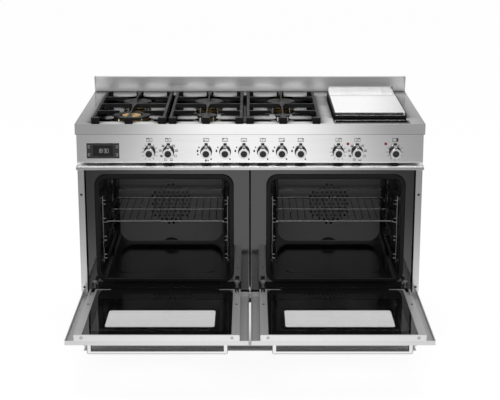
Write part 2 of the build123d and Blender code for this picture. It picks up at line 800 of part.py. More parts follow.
def finger(x, depth, heading, root, root_width):
    """Finger that tapers towards a burner's axis from a root at some distance from it."""
    plan = Polyline(
        (FINGER_REACH, FINGER_TIP_WIDTH / 2), (root, root_width / 2),
        (root, -root_width / 2), (FINGER_REACH, -FINGER_TIP_WIDTH / 2), close=True,
    )
    blank = extrude(Pos(0, 0, -BAR_HEIGHT) * make_face(plan), amount=BAR_HEIGHT)
    profile = Polyline(
        (FINGER_REACH, 0), (root, 0), (root, -BAR_HEIGHT),
        (FINGER_REACH, -FINGER_TIP_HEIGHT), close=True,
    )
    sides = extrude(Plane.XZ * make_face(profile), amount=root_width, both=True)
    place = floor_plane(x, depth, RIM_HEIGHT + SUPPORT_TOP).location
    return place * Rot(0, 0, heading) * (blank & sides)


def pan_support(column):
    """Cast grid over two burners: side bars, cross bar, rib with a star, fingers and legs."""
    x = COLUMN_X[column]
    top = RIM_HEIGHT + SUPPORT_TOP
    side_x = SUPPORT_WIDTH / 2 - BAR_FOOT_WIDTH / 2
    middle = (SUPPORT_FRONT + SUPPORT_BACK) / 2
    rib_x = (x - RIB_WIDTH / 2, x + RIB_WIDTH / 2)
    leg_middle = (SUPPORT_FRONT + LEG_DEPTH / 2, SUPPORT_BACK - LEG_DEPTH / 2)
    grid = block(rib_x, leg_middle, (top - RIB_HEIGHT, top))
    for side in (-1, 1):
        grid += along_depth(bar_section(x + side * side_x, top), SUPPORT_FRONT, SUPPORT_BACK)
    grid += along_x(bar_section(middle, top), x - side_x, x + side_x)
    for depth in ROW_DEPTH:
        for heading in (0, 180):
            grid += finger(x, depth, heading, side_x, BAR_FOOT_WIDTH)
    grid += finger(x, ROW_DEPTH[0], 270, ROW_DEPTH[0] - leg_middle[0], END_FINGER_WIDTH)
    grid += finger(x, ROW_DEPTH[1], 90, leg_middle[1] - ROW_DEPTH[1], END_FINGER_WIDTH)
    star = Polyline(
        (STAR_WIDTH / 2, 0), (0, STAR_LENGTH / 2), (-STAR_WIDTH / 2, 0), (0, -STAR_LENGTH / 2),
        close=True,
    )
    plane = floor_plane(x, middle, top - STAR_DEPTH)
    grid += extrude(plane * make_face(star), amount=STAR_DEPTH)
    leg_x = SUPPORT_WIDTH / 2 - LEG_WIDTH / 2
    for offset in (-leg_x, 0, leg_x):
        grid += support_leg(x + offset, SUPPORT_FRONT)
        grid += support_leg(x + offset, SUPPORT_BACK - LEG_DEPTH)
    return grid


def griddle_body():
    half = GRIDDLE_WIDTH / 2
    x_span = (GRIDDLE_X - half, GRIDDLE_X + half)
    plate_top = RIM_HEIGHT + GRIDDLE_PLATE
    body = block(x_span, (GRIDDLE_FRONT, GRIDDLE_BACK), (RIM_HEIGHT, RIM_HEIGHT + GRIDDLE_HEIGHT))
    pocket_x = (x_span[0] + GRIDDLE_WALL, x_span[1] - GRIDDLE_WALL)
    pocket_depth = (GRIDDLE_FRONT, GRIDDLE_BACK - GRIDDLE_WALL)
    body -= block(pocket_x, pocket_depth, (plate_top, RIM_HEIGHT + GRIDDLE_HEIGHT))
    pan_x = (x_span[0] + GRIDDLE_PAN_INSET, x_span[1] - GRIDDLE_PAN_INSET)
    pan_depth = (GRIDDLE_FRONT + GRIDDLE_PAN_INSET, GRIDDLE_BACK - GRIDDLE_PAN_INSET)
    return body + block(pan_x, pan_depth, (RIM_HEIGHT - GRIDDLE_PAN_DROP, RIM_HEIGHT))


def griddle_cover():
    """Folded lid: apron in front, side folds that stand on the plate, raised lip behind."""
    half = GRIDDLE_WIDTH / 2 - GRIDDLE_WALL - COVER_CLEARANCE
    x_span = (GRIDDLE_X - half, GRIDDLE_X + half)
    top = RIM_HEIGHT + COVER_TOP
    back = GRIDDLE_BACK - GRIDDLE_WALL - COVER_CLEARANCE
    points = [
        (GRIDDLE_FRONT, top - COVER_APRON),
        (GRIDDLE_FRONT + SHEET, top - COVER_APRON),
        (GRIDDLE_FRONT + SHEET, top - SHEET),
        (back, top - SHEET),
        (back, top + COVER_LIP),
        (back - SHEET, top + COVER_LIP),
        (back - SHEET, top),
        (GRIDDLE_FRONT, top),
    ]
    cover = along_x(points, *x_span)
    fold_z = (RIM_HEIGHT + GRIDDLE_PLATE, top)
    fold_depth = (GRIDDLE_FRONT, back)
    cover += block((x_span[0], x_span[0] + SHEET), fold_depth, fold_z)
    return cover + block((x_span[1] - SHEET, x_span[1]), fold_depth, fold_z)


def grease_tray():
    half = GRIDDLE_WIDTH / 2
    x_span = (GRIDDLE_X - half, GRIDDLE_X + half)
    rim = RIM_HEIGHT + TRAY_FLANGE_THICKNESS
    tray = block(x_span, (TRAY_FRONT, TRAY_BACK), (RIM_HEIGHT - TRAY_DROP, rim))
    flange_x = (x_span[0] - TRAY_FLANGE, x_span[1] + TRAY_FLANGE)
    tray += block(flange_x, (TRAY_FRONT - TRAY_FLANGE, TRAY_BACK + TRAY_FLANGE), (RIM_HEIGHT, rim))
    hollow_x = (x_span[0] + SHEET, x_span[1] - SHEET)
    hollow_z = (RIM_HEIGHT - TRAY_DROP + SHEET, rim)
    return tray - block(hollow_x, (TRAY_FRONT + SHEET, TRAY_BACK - SHEET), hollow_z)


def hinge_places(side):
    """X of the two hinges of one door, in the middle of its frame's side strips."""
    near = DOOR_GAP / 2 + FRAME_INSET + HINGE_STRIP_X
    far = HALF - DOOR_SIDE_GAP - FRAME_INSET - HINGE_STRIP_X
    return [side * near, side * far]


def oven_face(side):
    """Enamelled front plate with folded edges, the oven mouth and the hinge slots."""
    near = side * FACE_GAP / 2
    far = side * (HALF - PILLAR_WIDTH - FACE_SIDE_GAP)
    z_span = (FACE_BOTTOM, RAIL_TOP)
    face = block((near, far), (FACE_RECESS, FACE_BACK + FACE_EDGE), z_span)
    inner_z = (FACE_BOTTOM + SHEET, RAIL_TOP - SHEET)
    inner_x = (near + side * SHEET, far - side * SHEET)
    face -= block(inner_x, (FACE_BACK, FACE_BACK + FACE_EDGE), inner_z)
    face -= upright_slab(
        side * OVEN_X, OPENING_Z, OPENING_WIDTH, OPENING_HEIGHT, OPENING_RADIUS, FACE_RECESS, FACE_BACK
    )
    slot_half = HINGE_ARM_WIDTH / 2 + HINGE_SLOT_GAP
    slot_z = (HINGE_Z - HINGE_ARM_HALF - HINGE_SLOT_GAP, HINGE_Z + HINGE_ARM_HALF + HINGE_SLOT_GAP)
    for x in hinge_places(side):
        face -= block((x - slot_half, x + slot_half), (FACE_RECESS, FACE_BACK), slot_z)
    return face


def oven_liner(side):
    """Enamelled oven box, open in front, with a raised floor and the fan's bearing behind."""
    x = side * OVEN_X
    liner = upright_slab(
        x, OPENING_Z, OPENING_WIDTH + 2 * SHEET, OPENING_HEIGHT + 2 * SHEET,
        OPENING_RADIUS + SHEET, FACE_BACK, CAVITY_BACK + SHEET,
    )
    liner -= upright_slab(
        x, OPENING_Z, OPENING_WIDTH, OPENING_HEIGHT, OPENING_RADIUS, FACE_BACK, CAVITY_BACK
    )
    floor = RectangleRounded(
        OPENING_WIDTH - 2 * PRESSING_MARGIN, CAVITY_DEPTH - 2 * PRESSING_MARGIN, PRESSING_RADIUS
    )
    middle = floor_plane(x, (FACE_BACK + CAVITY_BACK) / 2, CAVITY_FLOOR)
    liner += extrude(middle * floor, amount=PRESSING_HEIGHT)
    wall = CAVITY_BACK + SHEET
    liner += pipe((x, wall, FAN_Z), (x, wall + FAN_SHAFT_SEAT, FAN_Z), FAN_BOSS_RADIUS)
    bore_radius = FAN_SHAFT_RADIUS + RUNNING_CLEARANCE
    return liner - pipe((x, CAVITY_BACK, FAN_Z), (x, wall + FAN_SHAFT_SEAT, FAN_Z), bore_radius)


def oven_gasket(side):
    x = side * OVEN_X
    front = FACE_RECESS - GASKET_HEIGHT
    ring = upright_slab(
        x, OPENING_Z, OPENING_WIDTH + 2 * GASKET_WIDTH, OPENING_HEIGHT + 2 * GASKET_WIDTH,
        OPENING_RADIUS + GASKET_WIDTH, front, FACE_RECESS,
    )
    ring -= upright_slab(
        x, OPENING_Z, OPENING_WIDTH, OPENING_HEIGHT, OPENING_RADIUS, front, FACE_RECESS
    )
    return fillet(ring.faces().sort_by(Axis.Y)[0].edges(), GASKET_ROUND)


def fan_cover(side):
    """Shallow box over the fan, with a round field of holes and an arch at its foot."""
    x = side * OVEN_X
    front = CAVITY_BACK - COVER_BOX_DEPTH
    cover = upright_slab(x, FAN_Z, COVER_WIDTH, COVER_HEIGHT, COVER_RADIUS, front, CAVITY_BACK)
    cover -= upright_slab(
        x, FAN_Z, COVER_WIDTH - 2 * SHEET, COVER_HEIGHT - 2 * SHEET, COVER_RADIUS - SHEET,
        front + SHEET, CAVITY_BACK,
    )
    rows = int(HOLE_FIELD / HOLE_PITCH) + 1
    holes = []
    for row in range(-rows, rows + 1):
        for place in range(-rows, rows + 1):
            across = (place + row / 2) * HOLE_PITCH
            up = row * HOLE_PITCH * math.sqrt(3) / 2
            if math.hypot(across, up) <= HOLE_FIELD:
                holes.append((across, up))
    pattern = [place * Circle(HOLE_RADIUS) for place in Locations(*holes)]
    plane = front_plane(x, front + SHEET, FAN_Z)
    cover -= extrude(plane * Sketch(pattern), amount=SHEET)
    arch_z = FAN_Z - COVER_HEIGHT / 2 + ARCH_RISE - ARCH_RADIUS
    return cover - pipe((x, front, arch_z), (x, front + SHEET, arch_z), ARCH_RADIUS)


def fan(side):
    """Fan wheel: plate, radial blades, hub and the shaft that runs in the liner's bearing."""
    x = side * OVEN_X
    back = CAVITY_BACK - FAN_GAP
    wheel = pipe((x, back - FAN_PLATE, FAN_Z), (x, back, FAN_Z), FAN_RADIUS)
    blade_front = back - FAN_PLATE - FAN_BLADE_DEPTH
    wheel += pipe((x, blade_front, FAN_Z), (x, back, FAN_Z), FAN_HUB_RADIUS)
    plane = front_plane(x, back - FAN_PLATE, FAN_Z)
    blade_span = (FAN_SHAFT_RADIUS, FAN_RADIUS - FAN_RIM)
    blade = Rectangle(blade_span[1] - blade_span[0], FAN_PLATE)
    blade = Pos((blade_span[0] + blade_span[1]) / 2, 0) * blade
    for index in range(FAN_BLADES):
        turned_blade = Rot(0, 0, index * 360 / FAN_BLADES) * blade
        wheel += extrude(plane * turned_blade, amount=FAN_BLADE_DEPTH)
    shaft_end = CAVITY_BACK + SHEET + FAN_SHAFT_SEAT
    return wheel + pipe((x, back, FAN_Z), (x, shaft_end, FAN_Z), FAN_SHAFT_RADIUS)


def grill_element(side):
    """Round heating rod in four runs under the roof, its ends set on the back wall."""
    x = side * OVEN_X
    z = CAVITY_ROOF - ELEMENT_DROP
    front = FACE_BACK + ELEMENT_FRONT
    turn = FACE_BACK + ELEMENT_BACK
    inner = ELEMENT_PITCH / 2
    outer = inner + ELEMENT_PITCH
    route = [
        (-outer, CAVITY_BACK), (-outer, front), (-inner, front), (-inner, turn),
        (inner, turn), (inner, front), (outer, front), (outer, CAVITY_BACK),
    ]
    points = [(x + offset, FRONT_Y + depth, z) for offset, depth in route]
    path = FilletPolyline(*points, radius=ELEMENT_BEND)
    start = Plane(origin=points[0], z_dir=(0, -1, 0))
    return sweep(start * Circle(ELEMENT_RADIUS), path=path)


def ladder_racks(side):
    """Two wire ladders, one on each side wall, with two bent rungs for each shelf level."""
    ladders = []
    front = FACE_BACK + RUNG_FRONT
    back = FACE_BACK + RUNG_BACK
    low = CAVITY_FLOOR + LOWEST_RUNG - POST_TAIL
    high = CAVITY_FLOOR + LOWEST_RUNG + (LEVELS - 1) * LEVEL_PITCH + SLOT_HEIGHT + POST_TAIL
    for hand in (-1, 1):
        rung_x = side * OVEN_X + hand * RUNG_OFFSET
        post_x = side * OVEN_X + hand * POST_OFFSET
        wall_x = side * OVEN_X + hand * OPENING_WIDTH / 2
        ladder = Part()
        for depth in (front, back):
            ladder += pipe((post_x, depth, low), (post_x, depth, high), POST_RADIUS)
            for z in (low + POST_TAIL / 2, high - POST_TAIL / 2):
                ladder += pipe((post_x, depth, z), (wall_x, depth, z), RUNG_RADIUS)
        for level in range(LEVELS):
            for lift in (0, SLOT_HEIGHT):
                z = CAVITY_FLOOR + LOWEST_RUNG + level * LEVEL_PITCH + lift
                route = [(post_x, front), (rung_x, front), (rung_x, back), (post_x, back)]
                points = [(across, FRONT_Y + depth, z) for across, depth in route]
                start = Plane(origin=points[0], z_dir=(-hand, 0, 0))
                path = FilletPolyline(*points, radius=RUNG_BEND)
                ladder += sweep(start * Circle(RUNG_RADIUS), path=path)
        ladders.append(ladder)
    return ladders


def oven_rack(side):
    """Wire shelf with two side runners, three cross bars and a raised fence at the back."""
    x = side * OVEN_X
    front = FACE_BACK + RACK_FRONT
    back = front + RACK_LENGTH
    left = x - RACK_HALF_WIDTH
    right = x + RACK_HALF_WIDTH
    rack = pipe((left, front, RACK_Z), (left, back, RACK_Z), RACK_BAR_RADIUS)
    rack += pipe((right, front, RACK_Z), (right, back, RACK_Z), RACK_BAR_RADIUS)
    cross_front = front + RACK_CROSS_INSET
    cross_back = back - RACK_CROSS_INSET
    for depth in (cross_front, (front + back) / 2, cross_back):
        rack += pipe((left, depth, RACK_Z), (right, depth, RACK_Z), RACK_CROSS_RADIUS)
    wire_z = RACK_Z + RACK_CROSS_RADIUS
    for index in range(RACK_WIRES):
        wire_x = x + (index - (RACK_WIRES - 1) / 2) * RACK_WIRE_PITCH
        rack += pipe((wire_x, cross_front, wire_z), (wire_x, cross_back, wire_z), RACK_WIRE_RADIUS)
    fence_z = RACK_Z + RACK_FENCE_HEIGHT
    for post_x in (x - RACK_FENCE_HALF, x + RACK_FENCE_HALF):
        rack += pipe((post_x, cross_back, RACK_Z), (post_x, cross_back, fence_z), RACK_WIRE_RADIUS)
    ends = [x - RACK_FENCE_HALF - RACK_BAR_RADIUS, x + RACK_FENCE_HALF + RACK_BAR_RADIUS]
    return rack + pipe((ends[0], cross_back, fence_z), (ends[1], cross_back, fence_z), RACK_CROSS_RADIUS)


def hinge_brackets():
    """Fixed hinge arms that reach through the oven faces, each with its pin."""
    brackets = []
    for side in (-1, 1):
        for x in hinge_places(side):
            arm_half = HINGE_ARM_WIDTH / 2
            arm_z = (HINGE_Z - HINGE_ARM_HALF, HINGE_Z + HINGE_ARM_HALF)
            arm = block((x - arm_half, x + arm_half), (HINGE_DEPTH, FACE_BACK), arm_z)
            knuckle = (x - arm_half, HINGE_DEPTH, HINGE_Z)
            arm += pipe(knuckle, (x + arm_half, HINGE_DEPTH, HINGE_Z), HINGE_ARM_HALF)
            pin_half = arm_half + HINGE_SIDE_GAP + LUG_THICKNESS
            pin = (x - pin_half, HINGE_DEPTH, HINGE_Z)
            arm += pipe(pin, (x + pin_half, HINGE_DEPTH, HINGE_Z), HINGE_PIN_RADIUS)
            plate_x = (x - BRACKET_WIDTH / 2, x + BRACKET_WIDTH / 2)
            plate_low = arm_z[0] - HINGE_SLOT_GAP - BRACKET_PLATE
            plate_z = (plate_low, HINGE_Z + BRACKET_HEIGHT / 2)
            arm += block(plate_x, (FACE_BACK, FACE_BACK + BRACKET_PLATE), plate_z)
            brackets.append(arm)
    return brackets


def opened(piece):
    """Swings a piece of a closed door down to its open place."""
    hinge = Pos(0, FRONT_Y + HINGE_DEPTH, HINGE_Z)
    back = Pos(0, -FRONT_Y - HINGE_DEPTH, -HINGE_Z)
    return hinge * Rot(DOOR_OPEN_ANGLE, 0, 0) * back * piece


def door_span(side):
    return (side * DOOR_GAP / 2, side * (HALF - DOOR_SIDE_GAP))


def door_middle(side):
    near, far = door_span(side)
    return (near + far) / 2


def window_z():
    return DOOR_BOTTOM + WINDOW_RISE + WINDOW_HEIGHT / 2


def door_outer_panel(side):
    """Steel tray with folded edges, the window cut-out and notches for the hinge arms."""
    near, far = door_span(side)
    panel = block((near, far), (DOOR_FRONT, DOOR_BACK), (DOOR_BOTTOM, DOOR_TOP))
    panel = fillet(panel.edges().filter_by(Axis.Y), DOOR_CORNER)
    hollow_x = (near + side * SHEET, far - side * SHEET)
    hollow_z = (DOOR_BOTTOM + SHEET, DOOR_TOP - SHEET)
    panel -= block(hollow_x, (DOOR_FRONT + SHEET, DOOR_BACK), hollow_z)
    panel -= upright_slab(
        side * OVEN_X, window_z(), WINDOW_WIDTH, WINDOW_HEIGHT, WINDOW_RADIUS,
        DOOR_FRONT, DOOR_FRONT + SHEET,
    )
    notch = HINGE_ARM_WIDTH / 2 + HINGE_SLOT_GAP
    notch_z = (DOOR_BOTTOM, DOOR_BOTTOM + SHEET)
    for x in hinge_places(side):
        panel -= block((x - notch, x + notch), (DOOR_FRONT + SHEET, DOOR_BACK), notch_z)
    return opened(panel)


def door_inner_frame(side):
    """Frame round the inner glass, standing in the tray, with hinge pockets and lugs at its foot."""
    near, far = door_span(side)
    outer_x = (near + side * FRAME_INSET, far - side * FRAME_INSET)
    face = DOOR_BACK + FRAME_DEPTH
    frame = block(outer_x, (DOOR_BACK, face), (FRAME_BOTTOM, FRAME_TOP))
    glass_x = (outer_x[0] + side * FRAME_STRIP, outer_x[1] - side * FRAME_STRIP)
    glass_z = (FRAME_BOTTOM + FRAME_FOOT_STRIP, FRAME_TOP - FRAME_TOP_STRIP)
    frame -= block(glass_x, (face - GLASS_THICKNESS, face), glass_z)
    open_x = (glass_x[0] + side * GLASS_LEDGE, glass_x[1] - side * GLASS_LEDGE)
    open_z = (glass_z[0] + GLASS_LEDGE, glass_z[1] - GLASS_LEDGE)
    frame -= block(open_x, (DOOR_BACK, face), open_z)
    frame += frame_stand(side, outer_x)
    pocket_z = (FRAME_BOTTOM, FRAME_BOTTOM + POCKET_LENGTH)
    for x in hinge_places(side):
        pocket_x = (x - POCKET_WIDTH / 2, x + POCKET_WIDTH / 2)
        frame -= block(pocket_x, (face - POCKET_DEPTH, face), pocket_z)
        for hand in (-1, 1):
            frame += hinge_lug(x, hand)
    return opened(frame)


def frame_stand(side, outer_x):
    """Side flanges that carry the frame on the skin of the tray."""
    stand = Part()
    for edge, hand in ((outer_x[0], side), (outer_x[1], -side)):
        x_span = (edge, edge + hand * SHEET)
        z_span = (FRAME_BOTTOM, STAND_TOP)
        stand += block(x_span, (DOOR_FRONT + SHEET, DOOR_BACK), z_span)
    return stand


def hinge_lug(x, hand):
    near = x + hand * (HINGE_ARM_WIDTH / 2 + HINGE_SIDE_GAP)
    far = near + hand * LUG_THICKNESS
    skin = DOOR_FRONT + SHEET + LUG_SKIN_GAP
    points = [
        (skin, HINGE_Z - LUG_HALF),
        (HINGE_DEPTH + LUG_HALF, HINGE_Z - LUG_HALF),
        (DOOR_BACK + LUG_HALF, FRAME_BOTTOM),
        (DOOR_BACK + LUG_HALF, FRAME_BOTTOM + LUG_OVERLAP),
        (skin, FRAME_BOTTOM + LUG_OVERLAP),
    ]
    lug = along_x(points, min(near, far), max(near, far))
    bore_radius = HINGE_PIN_RADIUS + RUNNING_CLEARANCE
    return lug - pipe((near, HINGE_DEPTH, HINGE_Z), (far, HINGE_DEPTH, HINGE_Z), bore_radius)


def door_inner_glass(side):
    near, far = door_span(side)
    gap = FRAME_INSET + FRAME_STRIP + GLASS_CLEARANCE
    face = DOOR_BACK + FRAME_DEPTH
    glass_z = (
        FRAME_BOTTOM + FRAME_FOOT_STRIP + GLASS_CLEARANCE,
        FRAME_TOP - FRAME_TOP_STRIP - GLASS_CLEARANCE,
    )
    x_span = (near + side * gap, far - side * gap)
    return opened(block(x_span, (face - GLASS_THICKNESS, face), glass_z))


def door_window(side):
    """Pane that lies on the inside of the tray, over its cut-out."""
    skin = DOOR_FRONT + SHEET
    pane = upright_slab(
        side * OVEN_X, window_z(), WINDOW_WIDTH + 2 * PANE_BORDER, WINDOW_HEIGHT + 2 * PANE_BORDER,
        WINDOW_RADIUS, skin, skin + PANE_THICKNESS,
    )
    return opened(pane)


def door_handle(side):
    """Flat strap bent back to the door at both ends."""
    half = HANDLE_LENGTH / 2
    x = door_middle(side)
    z = DOOR_TOP - HANDLE_DROP
    z_span = (z - HANDLE_HEIGHT / 2, z + HANDLE_HEIGHT / 2)
    front = DOOR_FRONT - HANDLE_REACH
    strap = block((x - half, x + half), (front, DOOR_FRONT), z_span)
    corners = strap.edges().filter_by(Axis.Z).group_by(Axis.Y)[0]
    strap = fillet(corners, HANDLE_RADIUS)
    gap = half - HANDLE_POST
    return opened(strap - block((x - gap, x + gap), (front + HANDLE_THICKNESS, DOOR_FRONT), z_span))


def rear_inlets():
    """Gas nipple and cable gland on the rear panel."""
    skin = REAR_DEPTH - SHEET
    nipple_end = REAR_DEPTH + GAS_NUT_HEIGHT + GAS_LENGTH
    nipple = pipe((GAS_X, skin - GAS_SEAT, GAS_Z), (GAS_X, nipple_end, GAS_Z), GAS_RADIUS)
    nut = RegularPolygon(GAS_NUT_WIDTH / 2, NUT_SIDES, major_radius=False)
    nut_plane = front_plane(GAS_X, REAR_DEPTH + GAS_NUT_HEIGHT, GAS_Z)
    nipple += extrude(nut_plane * nut, amount=GAS_NUT_HEIGHT)
    gland_start = (GLAND_X, skin, GLAND_Z)
    gland_end = (GLAND_X, REAR_DEPTH + GLAND_LENGTH, GLAND_Z)
    gland = pipe(gland_start, gland_end, GLAND_RADIUS)
    return [nipple, gland - pipe(gland_start, gland_end, GLAND_HOLE_RADIUS)]


def all_nodes():
    """Every node's name and its solid, or its group of solids."""
    nodes = {
        "base_pan": base_pan(),
        "side_panels": side_panels(),
        "rear_panel": rear_panel(),
        "feet": feet(),
        "kick_panel": kick_panel(),
        "front_pillars": front_pillars(),
        "vent_rail": vent_rail(),
        "control_panel": control_panel(),
        "clock_display": clock_display(),
        "pilot_lamps": pilot_lamps(),
        "valve_bodies": valve_bodies(),
        "hob_top": hob_top(),
        "backguard": backguard(),
        "burner_bases": burner_bases(),
        "burner_caps": burner_caps(),
        "griddle_body": griddle_body(),
        "griddle_cover": griddle_cover(),
        "grease_tray": grease_tray(),
        "hinge_brackets": hinge_brackets(),
        "rear_inlets": rear_inlets(),
    }
    for column, name in enumerate(("left", "centre", "right")):
        nodes["pan_support_" + name] = pan_support(column)
    for side, name in ((-1, "left"), (1, "right")):
        nodes["oven_face_" + name] = oven_face(side)
        nodes["oven_liner_" + name] = oven_liner(side)
        nodes["oven_gasket_" + name] = oven_gasket(side)
        nodes["fan_cover_" + name] = fan_cover(side)
        nodes["fan_" + name] = fan(side)
        nodes["grill_element_" + name] = grill_element(side)
        nodes["ladder_racks_" + name] = ladder_racks(side)
        nodes["oven_rack_" + name] = oven_rack(side)
        nodes["door_outer_panel_" + name] = door_outer_panel(side)
        nodes["door_inner_frame_" + name] = door_inner_frame(side)
        nodes["door_inner_glass_" + name] = door_inner_glass(side)
        nodes["door_window_" + name] = door_window(side)
        nodes["door_handle_" + name] = door_handle(side)
    for place, name in KNOB_NAMES.items():
        nodes["knob_" + name] = knob(place)
    return nodes


def main():
    os.makedirs("parts", exist_ok=True)
    for name, shape in all_nodes().items():
        solid = Compound(children=shape) if isinstance(shape, list) else shape
        export_step(solid, "parts/" + name + ".step")


main()
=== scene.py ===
import math

import bmesh
import bpy
from mathutils import Matrix, Vector

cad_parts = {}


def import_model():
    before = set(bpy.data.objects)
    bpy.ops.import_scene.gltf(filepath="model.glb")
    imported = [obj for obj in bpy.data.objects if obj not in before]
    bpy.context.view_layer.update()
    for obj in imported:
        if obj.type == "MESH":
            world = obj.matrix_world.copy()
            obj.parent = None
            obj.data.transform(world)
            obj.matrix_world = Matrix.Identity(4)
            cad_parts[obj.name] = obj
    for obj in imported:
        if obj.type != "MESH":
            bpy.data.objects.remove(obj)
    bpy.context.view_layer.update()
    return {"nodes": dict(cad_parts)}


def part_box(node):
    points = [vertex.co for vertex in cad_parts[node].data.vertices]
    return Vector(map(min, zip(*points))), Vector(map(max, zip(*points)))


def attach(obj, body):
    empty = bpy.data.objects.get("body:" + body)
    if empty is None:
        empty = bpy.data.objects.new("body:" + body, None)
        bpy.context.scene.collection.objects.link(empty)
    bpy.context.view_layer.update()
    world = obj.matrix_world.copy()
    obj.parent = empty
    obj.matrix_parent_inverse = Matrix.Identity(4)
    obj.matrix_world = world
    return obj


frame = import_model()

# Looks of the twin-oven range cooker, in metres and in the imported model's frame:
# +X to the right, +Y to the back, +Z up, floor at Z 0.

ROOT = "cooker"
SIDES = ("left", "right")
FRONT = Vector((0, -1, 0))
UP = Vector((0, 0, 1))
# Farther than any piece reaches past another
FAR = 1.0

# Camera, fitted to the photograph
CAMERA_PLACE = (0.0, -4.5525, 1.7529)
CAMERA_TILT = math.radians(14.876)
CAMERA_LENS = 95.50
SENSOR_WIDTH = 36.0

# Lamps: name, place, size, power and target
SOFTBOXES = (
    ("top_softbox", (0.0, -0.6, 2.9), (3.0, 2.0), 26.0, (0.0, 0.1, 0.0)),
    ("front_softbox", (0.0, -6.2, 3.2), (3.0, 2.0), 70.0, (0.0, 0.0, 0.5)),
)

# Floor and world. A fade is the two values it runs between and the levels there.
FLOOR_HALF = 30.0
FLOOR_TONE = 0.85
FLOOR_GLOW = 1.10
FLOOR_SHARE = 0.82
FLOOR_DARK = 0.76
FLOOR_ASIDE = (0.20, 1.0, 0.0, 1.0)
FLOOR_AHEAD = (-0.6, -2.0, 0.0, 1.0)
# Painted shadow on the floor close to the cooker, as seen in metal
FLOOR_NEAR_SHADOW = (-0.36, -0.12, 0.0, 0.75)
WORLD_BEHIND = (-0.6, 0.5, 0.35, 1.0)
WORLD_ASIDE = (0.08, 0.15, 1.0, 0.40)
WORLD_LIGHT = 0.55

# Grain of the surfaces, in cycles per metre: evenly, along x, y and z,
# or for brushed steel along and across its lines
BRUSH_LINES = (5.0, 700.0)
BRUSH_BANDS = (1.5, 90.0)
METAL_SMEARS = 14.0
KNOB_SMEARS = 60.0
ENAMEL_SPECKS = 2400.0
ENAMEL_RIPPLE = 160.0
IRON_SAND = 900.0
IRON_PATCHES = 60.0
BRASS_HEAT = 45.0
BRASS_TURNED = (300.0, 300.0, 1800.0)
ZINC_SPANGLE = 90.0
RUBBER_GRIT = 1200.0
GLASS_FILM = 20.0
GLOSS_HAZE = 40.0
INK_COVER = 500.0
# Noise values that a grain is spread between
GRAIN_RANGE = (0.3, 0.7)

# Relief of a grain: depth and strength
BRUSH_RELIEF = (0.00002, 0.35)
ENAMEL_RELIEF = (0.00002, 0.3)
IRON_RELIEF = (0.00025, 0.45)
BRASS_RELIEF = (0.00004, 0.4)
RUBBER_RELIEF = (0.0001, 0.3)

# Shares of the tone and of the roughness at the two ends of a grain
BRUSHED_SHARES = ((0.94, 1.0), (0.9, 1.12))
BRIGHT_SHARES = ((0.97, 1.0), (1.0, 1.8))
ENAMEL_SHARES = ((1.0, 1.8), (0.85, 1.25))
RUBBER_SHARES = ((0.7, 1.3), (0.9, 1.1))
GLOSS_SHARES = ((0.8, 1.2), (0.85, 1.2))
INK_SHARES = ((0.85, 1.0), (0.9, 1.1))

# Tones and roughnesses at the two ends of a grain
IRON_TONES = (0.005, 0.013)
IRON_ROUGH = (0.38, 0.52)
BRASS_COLOURS = ((0.56, 0.34, 0.11, 1.0), (0.74, 0.52, 0.22, 1.0))
BRASS_ROUGH = (0.22, 0.38)
ZINC_TONES = (0.46, 0.55)
ZINC_ROUGH = (0.36, 0.55)
GLASS_TONES = (0.9604, 0.98)
GLASS_ROUGH = (0.0, 0.015)
PRINT_TONES = (0.004, 0.007)
PRINT_ROUGH = (0.02, 0.05)
KNOB_TONES = (0.84, 0.90)
KNOB_ROUGH = (0.24, 0.32)

# Brush lines run along x, y or z
ALONG_X, ALONG_Y, ALONG_Z = range(3)
# Share of scattered light in satin steel
SATIN = 0.45

# Places in a piece that differ from the rest of it
CLEAR_TONE = 0.98
CLEAR_MARGIN = 0.02
CLEAR_FRONT = 0.10
TRAY_TONE = 0.52
TRAY_ROUGH = 0.5
TRAY_EDGE = 0.0018
TRAY_LIP = 0.0002
SKIN_GAP = 0.0004
FRAME_BLACK = 0.006
FRAME_END_TONE = 0.86
FRAME_END_DEPTH = 0.0004
CROSS_INSET = 0.075
CROSS_DEPTH = 0.024
# Painted shade in the hob's corners and under its pan supports, and a painted shadow line along its
# lower front edge
CORNER_SHADE_REACH = 0.10
CORNER_SHADE_SAMPLES = 8
CORNER_SHADE_POWER = 2.2
CORNER_SHADE_LEVEL = 0.12
HOB_GLANCE = 0.75
HOB_SHADOW_LINE = 0.0016
HOB_SHADOW_DEPTH = 0.45
HANDLE_POST = 0.0126
HANDLE_STRAP = 0.009
HANDLE_MARGIN = 0.0002
HANDLE_EDGE = 0.0016
HANDLE_RIM = 0.0004
HANDLE_RIM_TONE = 0.16
# Painted shade on the handle's faces towards the door
HANDLE_BACK_SHADE = 0.10
WOK_CAP_RADIUS = 0.037
WOK_CAP_COLOUR = (0.62, 0.42, 0.16, 1.0)

# Knobs and the marks round them
KNOBS = (
    "left_function", "left_thermostat",
    "gas_1", "gas_2", "gas_3", "gas_4", "gas_5", "gas_6",
    "right_function", "right_thermostat", "griddle",
)
KNOB_SKIRT_RADIUS = 0.0205
KNOB_SKIRT_DEPTH = 0.0062
KNOB_RING_DEPTH = 0.0275
KNOB_FIN_HALF = 0.0047
KNOB_CAP_RADIUS = 0.0115
KNOB_PITCH = 0.0654
KNOB_BLACK = 0.012
KNOB_BLACK_ROUGH = 0.22
MARK_THICKNESS = 0.0002
ICON_RISE = 0.043
ICON_SIZE = (0.0205, 0.0125)
ICON_GAP = 0.0020
ICON_LINE = 0.0013
ICON_DOTS = (0.0062, 0.0032)
DOT_RADIUS = 0.0013
ACTIVE_DOT_RADIUS = 0.0024
TICK_SIZE = (0.0016, 0.0082)
TICK_RADIUS = 0.0262
TICK_DEGREES = range(30, 331, 30)
FUNCTIONS = 8
FUNCTION_STEP = 40.0
FUNCTION_RADIUS = 0.0285
FUNCTION_SIZE = (0.0090, 0.0078)
FUNCTION_BAR = 0.6
FLAME_RADIUS = 0.0300
